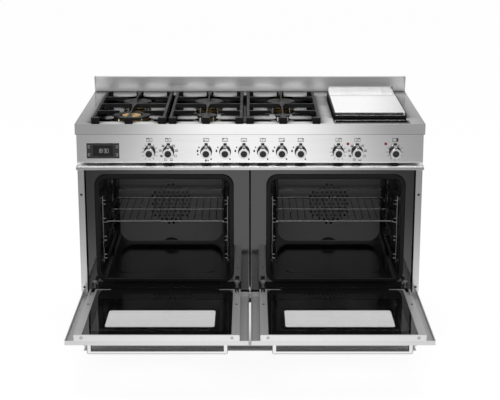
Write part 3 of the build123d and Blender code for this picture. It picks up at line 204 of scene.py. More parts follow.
FLAME = (
    (0.0, 0.0055), (0.0026, 0.0016), (0.0034, -0.0016), (0.0022, -0.0042),
    (-0.0022, -0.0042), (-0.0034, -0.0016), (-0.0026, 0.0016),
)
# Flames: degrees clockwise from the top and size
GAS_FLAMES = ((278.0, 1.0), (304.0, 0.7), (146.0, 0.8))
WOK_FLAMES = ((254.0, 0.8), (182.0, 1.0), (168.0, 0.7))
# Column and row of the dot that a gas knob's sign shows large
ACTIVE_BURNER = {
    "gas_1": (-1, -1), "gas_2": (-1, 1), "gas_3": (0, -1),
    "gas_4": (0, 1), "gas_5": (1, -1), "gas_6": (1, 1),
}

# Clock
DIGIT_SIZE = (0.0068, 0.0140)
DIGIT_LINE = 0.0012
DIGIT_X = (-0.0155, -0.0060, 0.0060, 0.0155)
DIGITS = "1830"
SEGMENTS = {"0": "abcdef", "1": "bc", "3": "abcdg", "8": "abcdefg"}
COLON_RISE = 0.0028
COLON_SHARE = 0.7
SCREEN_SIZE = (0.069, 0.038)
BRACKET_PLACE = (0.0480, 0.0142)
BRACKET_SIZE = (0.0075, 0.0085)

# Screws: a profile is radius and height from axis to axis, here as shares
SCREW_RADIUS = 0.0044
SCREW_HEIGHT = 0.0014
SCREW_PROFILE = ((0, 0), (1, 0), (1, 0.4), (0.75, 0.9), (0, 1))
RECESS_SIZE = (1.1, 0.22)
RECESS_SPAN = (0.8, 1.02)
PILLAR_SCREW_X = 0.589
PILLAR_SCREW_Z = (0.242, 0.581)
REAR_SCREWS_X = (-0.57, -0.38, -0.19, 0.0, 0.19, 0.38, 0.57)
REAR_SCREWS_Z = (0.032, 0.28, 0.53, 0.790)
REAR_SCREW_SHARE = 1.2

# Flat plugs in a door's end: levels of the ring, the face and the cross
PLUG_INSET = 0.0505
PLUG_RADIUS = 0.0050
PLUG_FACE = 0.8
PLUG_CROSS = (0.0048, 0.0010)
PLUG_LEVELS = (0.0, 0.00003, 0.00006, 0.00009)
STRIP_WIDTH = 0.026
STRIP_SCREW_Y = -0.246
STRIP_SCREW = ((0, 0), (0.0046, 0), (0.0046, 0.0004), (0.0032, 0.0010), (0, 0.0010))

# Other small fittings
COVE_GAP = 0.0003
COVE_DEPTH = 0.0115
COVE_HEIGHT = 0.0075
KICK_SHEET = 0.002
KICK_END_INSET = 0.0002
KICK_END_GAP = 0.0002
KICK_END_THICKNESS = 0.0012
LATCH_X = (0.0465, 0.555)
LATCH_Z = (0.231, 0.259)
# Right half of a latch from foot to cap: metres across, share of half its height
LATCH_HALF = (
    (0.0040, -1.0), (0.0036, -0.55), (0.0014, -0.15), (0.0014, 0.30),
    (0.0050, 0.50), (0.0090, 0.58), (0.0084, 0.80), (0.0045, 1.0),
)
LATCH_THICKNESS = 0.005

# Burners: support above, row, crown radius
BURNER_Y = (0.044, 0.308)
DECK_Z = 0.826
BURNERS = (
    ("left", 0, 0.062), ("left", 1, 0.049), ("centre", 0, 0.033),
    ("centre", 1, 0.049), ("right", 0, 0.023), ("right", 1, 0.049),
)
PIN_GAP = 0.007
PIN_ANGLES = (-125.0, -55.0)
PIN_SIDES = 14
IGNITER = (
    (0, 0), (0.0030, 0), (0.0030, 0.002), (0.0022, 0.003), (0.0022, 0.011),
    (0.0008, 0.012), (0.0008, 0.014), (0, 0.0145),
)
PROBE = ((0, 0), (0.0026, 0), (0.0026, 0.003), (0.0015, 0.004), (0.0015, 0.013), (0, 0.014))


def node(tree, kind, inputs=None, **settings):
    """Adds a shader node; an input is a constant or another node's output."""
    made = tree.nodes.new(kind)
    for key, value in settings.items():
        setattr(made, key, value)
    for key, value in (inputs or {}).items():
        if isinstance(value, bpy.types.NodeSocket):
            tree.links.new(value, made.inputs[key])
        else:
            made.inputs[key].default_value = value
    return made


def material(name, **sockets):
    """New Principled material; socket names are written with underscores."""
    made = bpy.data.materials.new(name)
    made.use_nodes = True
    shader = made.node_tree.nodes["Principled BSDF"]
    for key, value in sockets.items():
        shader.inputs[key.replace("_", " ")].default_value = value
    return made, made.node_tree, shader


def reopened(made):
    """Node tree and shader of a finished material, and the output that colours it."""
    tree = made.node_tree
    shader = tree.nodes["Principled BSDF"]
    return tree, shader, shader.inputs["Base Color"].links[0].from_socket


def feed(tree, shader, **outputs):
    """Links outputs to a shader; socket names are written with underscores."""
    for key, output in outputs.items():
        tree.links.new(output, shader.inputs[key.replace("_", " ")])


def grey(value):
    return (value, value, value, 1.0)


def greys(values):
    return [grey(value) for value in values]


def math_node(tree, operation, first, second=0.0):
    return node(tree, "ShaderNodeMath", {0: first, 1: second}, operation=operation).outputs[0]


def times(tree, first, second):
    return math_node(tree, "MULTIPLY", first, second)


def less(tree, first, second):
    return math_node(tree, "SUBTRACT", first, second)


def larger(tree, first, second):
    """The larger of two values; for masks, where either holds."""
    return math_node(tree, "MAXIMUM", first, second)


def below(tree, value, limit):
    """1 where a value is less than a limit."""
    return math_node(tree, "LESS_THAN", value, limit)


def above(tree, value, limit):
    """1 where a value is more than a limit."""
    return math_node(tree, "GREATER_THAN", value, limit)


def fade(tree, value, start, end, first, last):
    """Goes smoothly from one level to another between two values."""
    inputs = {
        "Value": value, "From Min": start, "From Max": end, "To Min": first, "To Max": last,
    }
    return node(tree, "ShaderNodeMapRange", inputs, interpolation_type="SMOOTHSTEP").outputs[0]


def mixed_colour(tree, factor, first, second):
    """First colour where the factor is 0, second where it is 1."""
    inputs = {0: factor, 6: first, 7: second}
    return node(tree, "ShaderNodeMix", inputs, data_type="RGBA").outputs[2]


def shaded(tree, colour, level):
    """Colour times a level."""
    inputs = {0: 1.0, 6: colour, 7: level}
    settings = {"data_type": "RGBA", "blend_type": "MULTIPLY"}
    return node(tree, "ShaderNodeMix", inputs, **settings).outputs[2]


def rest_vector(tree):
    """Rest coordinates of a point."""
    return node(tree, "ShaderNodeTexCoord").outputs["Object"]


def rest_place(tree):
    """Rest coordinates of a point, as the outputs X, Y and Z."""
    return node(tree, "ShaderNodeSeparateXYZ", {"Vector": rest_vector(tree)}).outputs


def inside(tree, **spans):
    """1 where the rest coordinates X, Y or Z lie within the spans given for them."""
    place = rest_place(tree)
    product = 1.0
    for axis, (low, high) in spans.items():
        product = times(tree, product, above(tree, place[axis], low))
        product = times(tree, product, below(tree, place[axis], high))
    return product


def closer(tree, across, along, radius):
    """1 where two distances lead to a point within a radius."""
    squares = math_node(tree, "ADD", times(tree, across, across), times(tree, along, along))
    return below(tree, squares, radius * radius)


def grain(tree, scale, detail=3.0):
    """Noise over the surface, with so many cycles per metre evenly or along x, y and z."""
    cycles = [scale] * 3 if isinstance(scale, float) else scale
    mapped = node(tree, "ShaderNodeMapping", {"Vector": rest_vector(tree), "Scale": cycles})
    inputs = {"Vector": mapped.outputs[0], "Scale": 1.0, "Detail": detail}
    return node(tree, "ShaderNodeTexNoise", inputs).outputs[0]


def brush_grain(tree, cycles, along):
    """Grain drawn out along one axis, with cycles per metre along and across it."""
    scale = [cycles[1]] * 3
    scale[along] = cycles[0]
    return grain(tree, scale)


def spread(tree, factor, low, high):
    """Maps a noise value to a range of numbers."""
    inputs = {
        "Value": factor, "From Min": GRAIN_RANGE[0], "From Max": GRAIN_RANGE[1],
        "To Min": low, "To Max": high,
    }
    return node(tree, "ShaderNodeMapRange", inputs).outputs[0]


def tint(tree, factor, first, last):
    """Maps a noise value to a range of colours."""
    ramp = node(tree, "ShaderNodeValToRGB", {"Fac": factor})
    for stop, place, colour in zip(ramp.color_ramp.elements, GRAIN_RANGE, (first, last)):
        stop.position = place
        stop.color = colour
    return ramp.outputs[0]


def uneven(tree, shader, colour_grain, rough_grain, tone, rough, shares):
    """A tone and a roughness that follow two grains."""
    tones, roughs = shares
    colour = tint(tree, colour_grain, *greys([tone * share for share in tones]))
    sheen = spread(tree, rough_grain, *[rough * share for share in roughs])
    feed(tree, shader, Base_Color=colour, Roughness=sheen)


def bump(tree, shader, height, depth, strength):
    inputs = {"Height": height, "Distance": depth, "Strength": strength}
    feed(tree, shader, Normal=node(tree, "ShaderNodeBump", inputs).outputs[0])


def brushed(name, tone, rough, along):
    """Stainless steel with satin brush lines along one axis."""
    made, tree, shader = material(name, Metallic=1.0)
    lines = brush_grain(tree, BRUSH_LINES, along)
    bands = brush_grain(tree, BRUSH_BANDS, along)
    uneven(tree, shader, lines, bands, tone, rough, BRUSHED_SHARES)
    bump(tree, shader, lines, *BRUSH_RELIEF)
    return made


def bright(name, tone, rough):
    """Polished metal with a trace of smears."""
    made, tree, shader = material(name, Metallic=1.0)
    smears = grain(tree, METAL_SMEARS)
    uneven(tree, shader, smears, smears, tone, rough, BRIGHT_SHARES)
    return made


def enamel(name, tone, rough, index):
    """Black vitreous enamel: glossy, faintly rippled, with fine pale specks."""
    made, tree, shader = material(name, IOR=index)
    specks = grain(tree, ENAMEL_SPECKS, detail=1.0)
    ripple = grain(tree, ENAMEL_RIPPLE, detail=1.0)
    uneven(tree, shader, specks, ripple, tone, rough, ENAMEL_SHARES)
    bump(tree, shader, ripple, *ENAMEL_RELIEF)
    return made


def cast_iron(name):
    made, tree, shader = material(name, IOR=1.35, Specular_IOR_Level=0.2)
    sand = grain(tree, IRON_SAND, detail=4.0)
    patches = grain(tree, IRON_PATCHES)
    feed(tree, shader, Base_Color=tint(tree, sand, *greys(IRON_TONES)),
         Roughness=spread(tree, patches, *IRON_ROUGH))
    bump(tree, shader, sand, *IRON_RELIEF)
    return made


def brass():
    """Machined brass with the faint tints of heat."""
    made, tree, shader = material("brass", Metallic=1.0)
    heat = grain(tree, BRASS_HEAT)
    lines = grain(tree, BRASS_TURNED)
    feed(tree, shader, Base_Color=tint(tree, heat, *BRASS_COLOURS),
         Roughness=spread(tree, lines, *BRASS_ROUGH))
    bump(tree, shader, lines, *BRASS_RELIEF)
    return made


def galvanised():
    """Zinc-coated sheet with its spangle."""
    made, tree, shader = material("galvanised", Metallic=1.0)
    inputs = {"Vector": rest_vector(tree), "Scale": ZINC_SPANGLE}
    spangle = node(tree, "ShaderNodeTexVoronoi", inputs)
    cell = node(tree, "ShaderNodeSeparateColor", {"Color": spangle.outputs["Color"]})
    feed(tree, shader, Base_Color=tint(tree, cell.outputs[0], *greys(ZINC_TONES)),
         Roughness=spread(tree, cell.outputs[1], *ZINC_ROUGH))
    return made


def rubber(name, tone, rough):
    made, tree, shader = material(name, IOR=1.3)
    grit = grain(tree, RUBBER_GRIT)
    uneven(tree, shader, grit, grit, tone, rough, RUBBER_SHARES)
    bump(tree, shader, grit, *RUBBER_RELIEF)
    return made


def window_glass():
    made, tree, shader = material("window_glass", Transmission_Weight=1.0, IOR=1.12)
    film = grain(tree, GLASS_FILM)
    feed(tree, shader, Base_Color=tint(tree, film, *greys(GLASS_TONES)),
         Roughness=spread(tree, film, *GLASS_ROUGH))
    return made


def gloss_black(name, tone, rough):
    made, tree, shader = material(name)
    haze = grain(tree, GLOSS_HAZE)
    uneven(tree, shader, haze, haze, tone, rough, GLOSS_SHARES)
    return made


def paint(name, colour, rough=0.5):
    """Printed ink with a slightly uneven cover."""
    made, tree, shader = material(name)
    cover = grain(tree, INK_COVER)
    tones, roughs = INK_SHARES
    colours = [(*[part * share for part in colour[:3]], 1.0) for share in tones]
    feed(tree, shader, Base_Color=tint(tree, cover, *colours),
         Roughness=spread(tree, cover, *[rough * share for share in roughs]))
    return made


def printed_glass(side):
    """Inner door glass: black print with a clear field over the window."""
    made, tree, shader = material("printed_glass_" + side, IOR=1.17)
    low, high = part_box("door_window_" + side)
    clear = inside(tree, X=(low.x - CLEAR_MARGIN, high.x + CLEAR_MARGIN),
                   Y=(low.y - CLEAR_FRONT, high.y + CLEAR_MARGIN))
    film = grain(tree, GLASS_FILM)
    print_tone = tint(tree, film, *greys(PRINT_TONES))
    feed(tree, shader, Base_Color=mixed_colour(tree, clear, print_tone, grey(CLEAR_TONE)),
         Transmission_Weight=clear, Roughness=spread(tree, film, *PRINT_ROUGH))
    return made


def door_steel(side):
    """Brushed steel, duller inside the tray and black within the frame."""
    made = brushed("steel_door_" + side, tone=0.74, rough=0.22, along=ALONG_X)
    tree, shader, steel = reopened(made)
    sheen = shader.inputs["Roughness"].links[0].from_socket
    tray_low, tray_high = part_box("door_outer_panel_" + side)
    frame_low, frame_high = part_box("door_inner_frame_" + side)
    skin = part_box("door_window_" + side)[0].z - SKIN_GAP
    depth = (tray_low.y + TRAY_EDGE, tray_high.y + FAR)
    tray = inside(tree, X=(tray_low.x + TRAY_EDGE, tray_high.x - TRAY_EDGE), Y=depth,
                  Z=(skin, tray_high.z - TRAY_LIP))
    deep = inside(tree, X=(frame_low.x, frame_high.x), Y=depth, Z=(skin, frame_high.z))
    dull = mixed_colour(tree, tray, steel, grey(TRAY_TONE))
    scatter = larger(tree, deep, times(tree, tray, SATIN))
    feed(tree, shader, Base_Color=mixed_colour(tree, deep, dull, grey(FRAME_BLACK)),
         Metallic=less(tree, 1.0, scatter),
         Roughness=larger(tree, sheen, times(tree, tray, TRAY_ROUGH)))
    return made


def frame_steel(side):
    """Satin strips with a brighter end face and a black cross strip."""
    made = brushed("steel_frame_" + side, tone=0.56, rough=0.40, along=ALONG_Y)
    tree, shader, steel = reopened(made)
    low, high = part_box("door_inner_frame_" + side)
    end = below(tree, rest_place(tree)["Y"], low.y + FRAME_END_DEPTH)
    cross = inside(tree, X=(low.x + CROSS_INSET, high.x - CROSS_INSET),
                   Y=(high.y - CROSS_DEPTH, high.y + FAR))
    lit = mixed_colour(tree, end, steel, grey(FRAME_END_TONE))
    scatter = times(tree, less(tree, 1.0, end), SATIN)
    feed(tree, shader, Base_Color=mixed_colour(tree, cross, lit, grey(FRAME_BLACK)),
         Metallic=less(tree, 1.0, scatter))
    return made


def hob_steel():
    """Bright steel with painted shade in its corners and under the pan supports, and a painted
    shadow line at its lower edge.
    """
    made = brushed("steel_hob", tone=0.90, rough=0.07, along=ALONG_X)
    tree, shader, steel = reopened(made)
    # Painted shade: darker where nearby parts hem the surface in
    open_sky = node(tree, "ShaderNodeAmbientOcclusion", {"Distance": CORNER_SHADE_REACH},
                    samples=CORNER_SHADE_SAMPLES).outputs["AO"]
    depth = larger(tree, math_node(tree, "POWER", open_sky, CORNER_SHADE_POWER), CORNER_SHADE_LEVEL)
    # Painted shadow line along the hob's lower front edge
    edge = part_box("hob_top")[0].z + HOB_SHADOW_LINE
    line = times(tree, below(tree, rest_place(tree)["Z"], edge), HOB_SHADOW_DEPTH)
    level = less(tree, depth, line)
    feed(tree, shader, Base_Color=shaded(tree, steel, level),
         Specular_Tint=shaded(tree, grey(HOB_GLANCE), level))
    return made


def handle_steel(side):
    """Polished strap with painted shade on the faces towards the door, and dark round its front
    edge.
    """
    made = bright("handle_steel_" + side, tone=0.82, rough=0.10)
    tree, shader, steel = reopened(made)
    low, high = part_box("door_handle_" + side)
    post = HANDLE_POST - HANDLE_MARGIN
    # Painted shade on the faces towards the door
    back_shade = inside(tree, X=(low.x + post, high.x - post),
                   Z=(low.z + HANDLE_STRAP - HANDLE_MARGIN, high.z + FAR))
    face = inside(tree, X=(low.x + HANDLE_EDGE, high.x - HANDLE_EDGE),
                  Z=(low.z + HANDLE_EDGE, high.z + FAR))
    front = below(tree, rest_place(tree)["Y"], low.y + HANDLE_RIM)
    rim = times(tree, front, less(tree, 1.0, face))
    edged = mixed_colour(tree, rim, steel, grey(HANDLE_RIM_TONE))
    feed(tree, shader, Base_Color=mixed_colour(tree, back_shade, edged, grey(HANDLE_BACK_SHADE)))
    return made


def cap_iron():
    """Black burner caps; the small one in the wok burner is brass."""
    made = cast_iron("cap_iron")
    tree, shader, iron = reopened(made)
    low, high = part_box("pan_support_left")
    place = rest_place(tree)
    across = less(tree, place["X"], (low.x + high.x) / 2)
    along = less(tree, place["Y"], BURNER_Y[0])
    inner = closer(tree, across, along, WOK_CAP_RADIUS)
    feed(tree, shader, Base_Color=mixed_colour(tree, inner, iron, WOK_CAP_COLOUR),
         Metallic=inner)
    return made


def knob_metal():
    """Chrome grip with a satin fin on a black skirt, with a black pointer tip and cap."""
    made, tree, shader = material("knob_chrome_and_black")
    place = rest_place(tree)
    low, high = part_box("knob_gas_1")
    panel_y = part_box("control_panel")[0].y
    offset = less(tree, place["X"], (low.x + high.x) / 2)
    pitches = math_node(tree, "DIVIDE", offset, KNOB_PITCH)
    nearest = math_node(tree, "ROUND", pitches)
    across = times(tree, less(tree, pitches, nearest), KNOB_PITCH)
    rise = less(tree, place["Z"], low.z + KNOB_SKIRT_RADIUS)
    in_skirt = above(tree, place["Y"], panel_y - KNOB_SKIRT_DEPTH)
    in_body = above(tree, place["Y"], panel_y - KNOB_RING_DEPTH)
    beside = above(tree, math_node(tree, "ABSOLUTE", across), KNOB_FIN_HALF)
    body = times(tree, in_body, larger(tree, beside, below(tree, rise, 0.0)))
    cap = closer(tree, across, rise, KNOB_CAP_RADIUS)
    black = larger(tree, larger(tree, in_skirt, cap), body)
    fin = times(tree, in_body, less(tree, 1.0, black))
    smears = grain(tree, KNOB_SMEARS)
    metal = tint(tree, smears, *greys(KNOB_TONES))
    rough = math_node(tree, "ADD", spread(tree, smears, *KNOB_ROUGH),
                      times(tree, black, KNOB_BLACK_ROUGH))
    feed(tree, shader, Base_Color=mixed_colour(tree, black, metal, grey(KNOB_BLACK)),
         Metallic=less(tree, 1.0, larger(tree, black, fin)), Roughness=rough)
    return made


def dress(names, made):
    """Gives CAD nodes a material."""
    for name in names:
        slots = frame["nodes"][name].data.materials
        slots.clear()
        slots.append(made)


def pair(stem):
    return [stem + "_" + side for side in SIDES]


def dress_nodes():
    dress(["control_panel", "base_pan"],
          brushed("steel_front", tone=0.92, rough=0.15, along=ALONG_X))
    dress(["kick_panel"], brushed("steel_kick", tone=0.84, rough=0.22, along=ALONG_X))
    dress(["front_pillars"], brushed("steel_pillars", tone=0.62, rough=0.20, along=ALONG_Z))
    dress(["side_panels"], brushed("steel_sides", tone=0.70, rough=0.32, along=ALONG_Y))
    dress(["hob_top"], hob_steel())
    dress(["backguard"], brushed("steel_backguard", tone=0.76, rough=0.42, along=ALONG_X))
    dress(["griddle_cover"], brushed("steel_cover", tone=0.96, rough=0.08, along=ALONG_X))
    for side in SIDES:
        dress(["door_inner_frame_" + side], frame_steel(side))
        dress(["door_outer_panel_" + side], door_steel(side))
        dress(["door_inner_glass_" + side], printed_glass(side))
        dress(["door_handle_" + side], handle_steel(side))
    dress(["vent_rail"], bright("polished_rail", tone=0.60, rough=0.14))
    # Rack chrome darkened as painted shade, for racks that stand in the oven's shadow
    dress(pair("oven_rack") + pair("ladder_racks"), bright("chrome_wire_painted_shade", tone=0.20, rough=0.16))
    dress(["knob_" + name for name in KNOBS], knob_metal())
    dress(pair("oven_face"), enamel("face_enamel", tone=0.007, rough=0.06, index=1.8))
    dress(pair("oven_liner"), enamel("cavity_enamel", tone=0.004, rough=0.16, index=1.42))
    dress(pair("fan_cover"), enamel("cover_enamel", tone=0.075, rough=0.22, index=1.45))
    dress(["grease_tray"], enamel("tray_enamel", tone=0.008, rough=0.25, index=1.5))
    dress(pair("oven_gasket"), rubber("gasket", tone=0.004, rough=0.32))
    dress(["pan_support_left", "pan_support_centre", "pan_support_right", "griddle_body"],
          cast_iron("cast_iron"))
    dress(["burner_caps"], cap_iron())
    dress(["burner_bases", "rear_inlets"], brass())
    dress(pair("door_window"), window_glass())
    dress(["clock_display"], gloss_black("display", tone=0.032, rough=0.20))
    dress(["pilot_lamps"], paint("lamp_lens", (0.36, 0.02, 0.01, 1.0), rough=0.2))
    dress(["rear_panel", "hinge_brackets", "valve_bodies"], galvanised())
    dress(pair("grill_element"), gloss_black("sheathed_element", tone=0.05, rough=0.45))
    dress(pair("fan"), gloss_black("fan_enamel", tone=0.006, rough=0.50))
    dress(["feet"], rubber("foot_plastic", tone=0.03, rough=0.6))


def axes(origin, normal):
    """Matrix with its third axis along a normal and its second up, or back on a level face."""
    out = Vector(normal)
    up = Vector((0, 1, 0)) if abs(out.z) > 0.9 else UP
    across = up.cross(out)
    made = Matrix((across, up, out)).transposed().to_4x4()
    made.translation = origin
    return made


def prism(mesh, place, outline, low, high, slot=0):
    """Solid between two heights over a flat outline of (across, up) points."""
    foot = [mesh.verts.new(place @ Vector((u, v, low))) for u, v in outline]
    top = [mesh.verts.new(place @ Vector((u, v, high))) for u, v in outline]
    faces = [mesh.faces.new(top), mesh.faces.new(foot[::-1])]
    for index in range(len(outline)):
        after = (index + 1) % len(outline)
        faces.append(mesh.faces.new((foot[index], foot[after], top[after], top[index])))
    for face in faces:
        face.material_index = slot


def rectangle(middle, size):
    (u, v), (w, h) = middle, (size[0] / 2, size[1] / 2)
    return [(u - w, v - h), (u + w, v - h), (u + w, v + h), (u - w, v + h)]


def crossed(size):
    """Two bars of one size that cross at the middle."""
    return [rectangle((0, 0), size), rectangle((0, 0), size[::-1])]


def disc(middle, radius, sides=20):
    steps = [index * 2 * math.pi / sides for index in range(sides)]
    return [(middle[0] + radius * math.cos(a), middle[1] + radius * math.sin(a)) for a in steps]


def outlined(middle, size, line):
    """Four bars that draw a rectangle's outline."""
    (u, v), (w, h) = middle, size
    rise = (h - line) / 2
    reach = (w - line) / 2
    upright = (line, h - 2 * line)
    return [
        rectangle((u, v + rise), (w, line)), rectangle((u, v - rise), (w, line)),
        rectangle((u + reach, v), upright), rectangle((u - reach, v), upright),
    ]


def turned(mesh, place, profile, sides=20, slot=0):
    """Surface of revolution about the third axis; the profile runs from axis to axis."""
    rings = []
    for radius, height in profile:
        points = disc((0, 0), radius, sides) if radius else [(0, 0)]
        rings.append([mesh.verts.new(place @ Vector((u, v, height))) for u, v in points])
    for first, second in zip(rings, rings[1:]):
        for index in range(sides):
            after = (index + 1) % sides
            corners = [first[index % len(first)], first[after % len(first)],
                       second[after % len(second)], second[index % len(second)]]
            face = mesh.faces.new(list(dict.fromkeys(corners)))
            face.material_index = slot
            face.smooth = True


def piece(name, mesh, materials, body):
    """Finishes a mesh as a piece that moves with a body."""
    bmesh.ops.recalc_face_normals(mesh, faces=mesh.faces)
    data = bpy.data.meshes.new(name)
    mesh.to_mesh(data)
    mesh.free()
    for made in materials:
        data.materials.append(made)
    holder = bpy.data.objects.new(name, data)
    bpy.context.scene.collection.objects.link(holder)
    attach(holder, body)


def knob_place(name):
    """Axes at a knob's centre on the face of the control panel."""
    low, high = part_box("knob_" + name)
    panel_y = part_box("control_panel")[0].y
    return axes(((low.x + high.x) / 2, panel_y, low.z + KNOB_SKIRT_RADIUS), FRONT)


def icon(name):
    """Outlines of the sign over a knob."""
    middle = (0.0, ICON_RISE)
    if name.startswith("gas"):
        shapes = outlined(middle, ICON_SIZE, ICON_LINE)
        for column in (-1, 0, 1):
            for row in (-1, 1):
                active = (column, row) == ACTIVE_BURNER[name]
                centre = (column * ICON_DOTS[0], ICON_RISE + row * ICON_DOTS[1])
                shapes.append(disc(centre, ACTIVE_DOT_RADIUS if active else DOT_RADIUS, 12))
        return shapes
    if name == "griddle":
        end = (ICON_SIZE[0] / 3, ICON_SIZE[1])
        return outlined(middle, ICON_SIZE, ICON_LINE) + [rectangle((end[0], ICON_RISE), end)]
    half = ((ICON_SIZE[0] - ICON_GAP) / 2, ICON_SIZE[1])
    offset = (half[0] + ICON_GAP) / 2
    shapes = []
    for u in (offset, -offset):
        shapes += outlined((u, ICON_RISE), half, ICON_LINE)
    marked = -offset if name.startswith("left") else offset
    bar = (half[0], ICON_SIZE[1] / 4)
    return shapes + [rectangle((marked, ICON_RISE + (half[1] - bar[1]) / 2), bar)]


def round_knob(radius, degrees):
    """Point on a circle round the knob, clockwise from the top."""
    angle = math.radians(degrees)
    return radius * math.sin(angle), radius * math.cos(angle)


def tick(degrees):
    middle = Vector(round_knob(TICK_RADIUS, degrees))
    turn = Matrix.Rotation(math.radians(-degrees), 2)
    return [tuple(turn @ Vector(point) + middle) for point in rectangle((0, 0), TICK_SIZE)]


def function_sign(number):
    """Small outlined square with bars, a dot or nothing in it."""
    u, v = round_knob(FUNCTION_RADIUS, FUNCTION_STEP * (number + 1))
    shapes = outlined((u, v), FUNCTION_SIZE, ICON_LINE)
    width, height = FUNCTION_SIZE
    bar = (width * FUNCTION_BAR, height / 6)
    if number % 4 in (0, 1):
        shapes.append(rectangle((u, v + height / 4), bar))
    if number % 4 in (1, 3):
        shapes.append(rectangle((u, v - height / 4), bar))
    if number > 4:
        shapes.append(disc((u, v), height / 4, 10))
    return shapes


def flame_sign(degrees, size):
    u, v = round_knob(FLAME_RADIUS, degrees)
    return [(u + size * x, v + size * y) for x, y in FLAME]


def knob_signs(name):
    """Ticks, function signs or flames round a knob."""
    if name.endswith("thermostat"):
        return [shape for number in range(FUNCTIONS) for shape in function_sign(number)]
    if name.startswith("gas"):
        flames = GAS_FLAMES + WOK_FLAMES if name == "gas_1" else GAS_FLAMES
        return [flame_sign(degrees, size) for degrees, size in flames]
    return [tick(degrees) for degrees in TICK_DEGREES]


def panel_marks():
    mesh = bmesh.new()
    for name in KNOBS:
        place = knob_place(name)
        for outline in icon(name) + knob_signs(name):
            prism(mesh, place, outline, 0.0, MARK_THICKNESS)
    piece("panel_marks", mesh, [paint("ink", grey(0.05))], ROOT)


def segment(letter, u):
    """Outline of one bar of a seven-segment digit whose middle is at u."""
    width, height = DIGIT_SIZE
    across = {"a": height / 2, "g": 0.0, "d": -height / 2}
    if letter in across:
        return rectangle((u, across[letter]), (width - DIGIT_LINE, DIGIT_LINE))
    side = 1 if letter in "bc" else -1
    rise = height / 4 if letter in "bf" else -height / 4
    return rectangle((u + side * width / 2, rise), (DIGIT_LINE, height / 2 - DIGIT_LINE))


def brackets():
    """Bars of the four square brackets beside the clock's screen."""
    width, height = BRACKET_SIZE
    bars = []
    for side in (-1, 1):
        for level in (-1, 1):
            u, v = side * BRACKET_PLACE[0], level * BRACKET_PLACE[1]
            for end in (-1, 1):
                middle = (u, v + end * (height - DIGIT_LINE) / 2)
                bars.append(rectangle(middle, (width, DIGIT_LINE)))
            middle = (u + side * (width - DIGIT_LINE) / 2, v)
            bars.append(rectangle(middle, (DIGIT_LINE, height - 2 * DIGIT_LINE)))
    return bars


def clock_face():
    low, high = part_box("clock_display")
    place = axes(((low.x + high.x) / 2, low.y, (low.z + high.z) / 2), FRONT)
    mesh = bmesh.new()
    prism(mesh, place, rectangle((0, 0), SCREEN_SIZE), 0.0, MARK_THICKNESS)
    digits = [segment(letter, u) for u, digit in zip(DIGIT_X, DIGITS) for letter in SEGMENTS[digit]]
    colon = [disc((0, rise), DIGIT_LINE * COLON_SHARE, 10) for rise in (-COLON_RISE, COLON_RISE)]
    for outline in digits + colon:
        prism(mesh, place, outline, MARK_THICKNESS, 2 * MARK_THICKNESS, 1)
    for outline in brackets():
        prism(mesh, place, outline, 0.0, MARK_THICKNESS, 1)
    screen = gloss_black("screen", tone=0.006, rough=0.10)
    glow = paint("digits", (0.55, 0.56, 0.58, 1.0), rough=0.3)
    piece("clock_face", mesh, [screen, glow], ROOT)


def screw_heads(name, places, normal, radius, made):
    """Low domed screw heads with a dark cross recess."""
    mesh = bmesh.new()
    height = radius * SCREW_HEIGHT / SCREW_RADIUS
    profile = [(radius * u, height * v) for u, v in SCREW_PROFILE]
    foot, top = [height * share for share in RECESS_SPAN]
    for origin in places:
        place = axes(origin, normal)
        turned(mesh, place, profile)
        for outline in crossed([radius * share for share in RECESS_SIZE]):
            prism(mesh, place, outline, foot, top, 1)
    recess = gloss_black(name + "_recess", tone=0.01, rough=0.5)
    piece(name, mesh, [made, recess], ROOT)


def door_screws(side, dark):
    """Flat plugs in the end of a door's frame and dark screws in its side strips."""
    low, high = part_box("door_inner_frame_" + side)
    mesh = bmesh.new()
    middle_z = (high.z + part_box("door_outer_panel_" + side)[1].z) / 2
    foot, ring, face, cross = PLUG_LEVELS
    for x in (low.x + PLUG_INSET - STRIP_WIDTH, high.x - PLUG_INSET + STRIP_WIDTH):
        place = axes((x, low.y, middle_z), FRONT)
        prism(mesh, place, disc((0, 0), PLUG_RADIUS), foot, ring, 1)
        prism(mesh, place, disc((0, 0), PLUG_RADIUS * PLUG_FACE), ring, face)
        for outline in crossed(PLUG_CROSS):
            prism(mesh, place, outline, face, cross, 1)
    for x in (low.x + STRIP_WIDTH / 2, high.x - STRIP_WIDTH / 2):
        turned(mesh, axes((x, STRIP_SCREW_Y, high.z), UP), STRIP_SCREW, slot=1)
    steel = bright("screw_steel_" + side, tone=0.7, rough=0.2)
    piece("door_screws_" + side, mesh, [steel, dark], side + "_door")


def rail_cove():
    """Polished strip in the corner between the vent rail and the control panel."""
    mesh = bmesh.new()
    low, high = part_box("vent_rail")
    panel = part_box("control_panel")[0].y
    place = axes((low.x, panel - COVE_GAP, high.z), (1, 0, 0))
    prism(mesh, place, [(-COVE_DEPTH, 0), (0, 0), (0, COVE_HEIGHT)], 0.0, high.x - low.x)
    polished = bright("polished_cove", tone=0.56, rough=0.16)
    piece("rail_cove", mesh, [polished], ROOT)


def kick_ends():
    """Plates that close the two ends of the kick panel's channel."""
    mesh = bmesh.new()
    low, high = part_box("kick_panel")
    depth = high.y - low.y - KICK_SHEET
    height = high.z - low.z - 2 * KICK_SHEET
    outline = rectangle((0, 0), (depth - 2 * KICK_END_GAP, height - 2 * KICK_END_GAP))
    y, z = (low.y + KICK_SHEET + high.y) / 2, (low.z + high.z) / 2
    for side in (-1, 1):
        place = axes((side * (high.x - KICK_END_INSET), y, z), (side, 0, 0))
        prism(mesh, place, outline, -KICK_END_THICKNESS, 0.0)
    steel = brushed("steel_kick_ends", tone=0.62, rough=0.25, along=ALONG_Z)
    piece("kick_ends", mesh, [steel], ROOT)


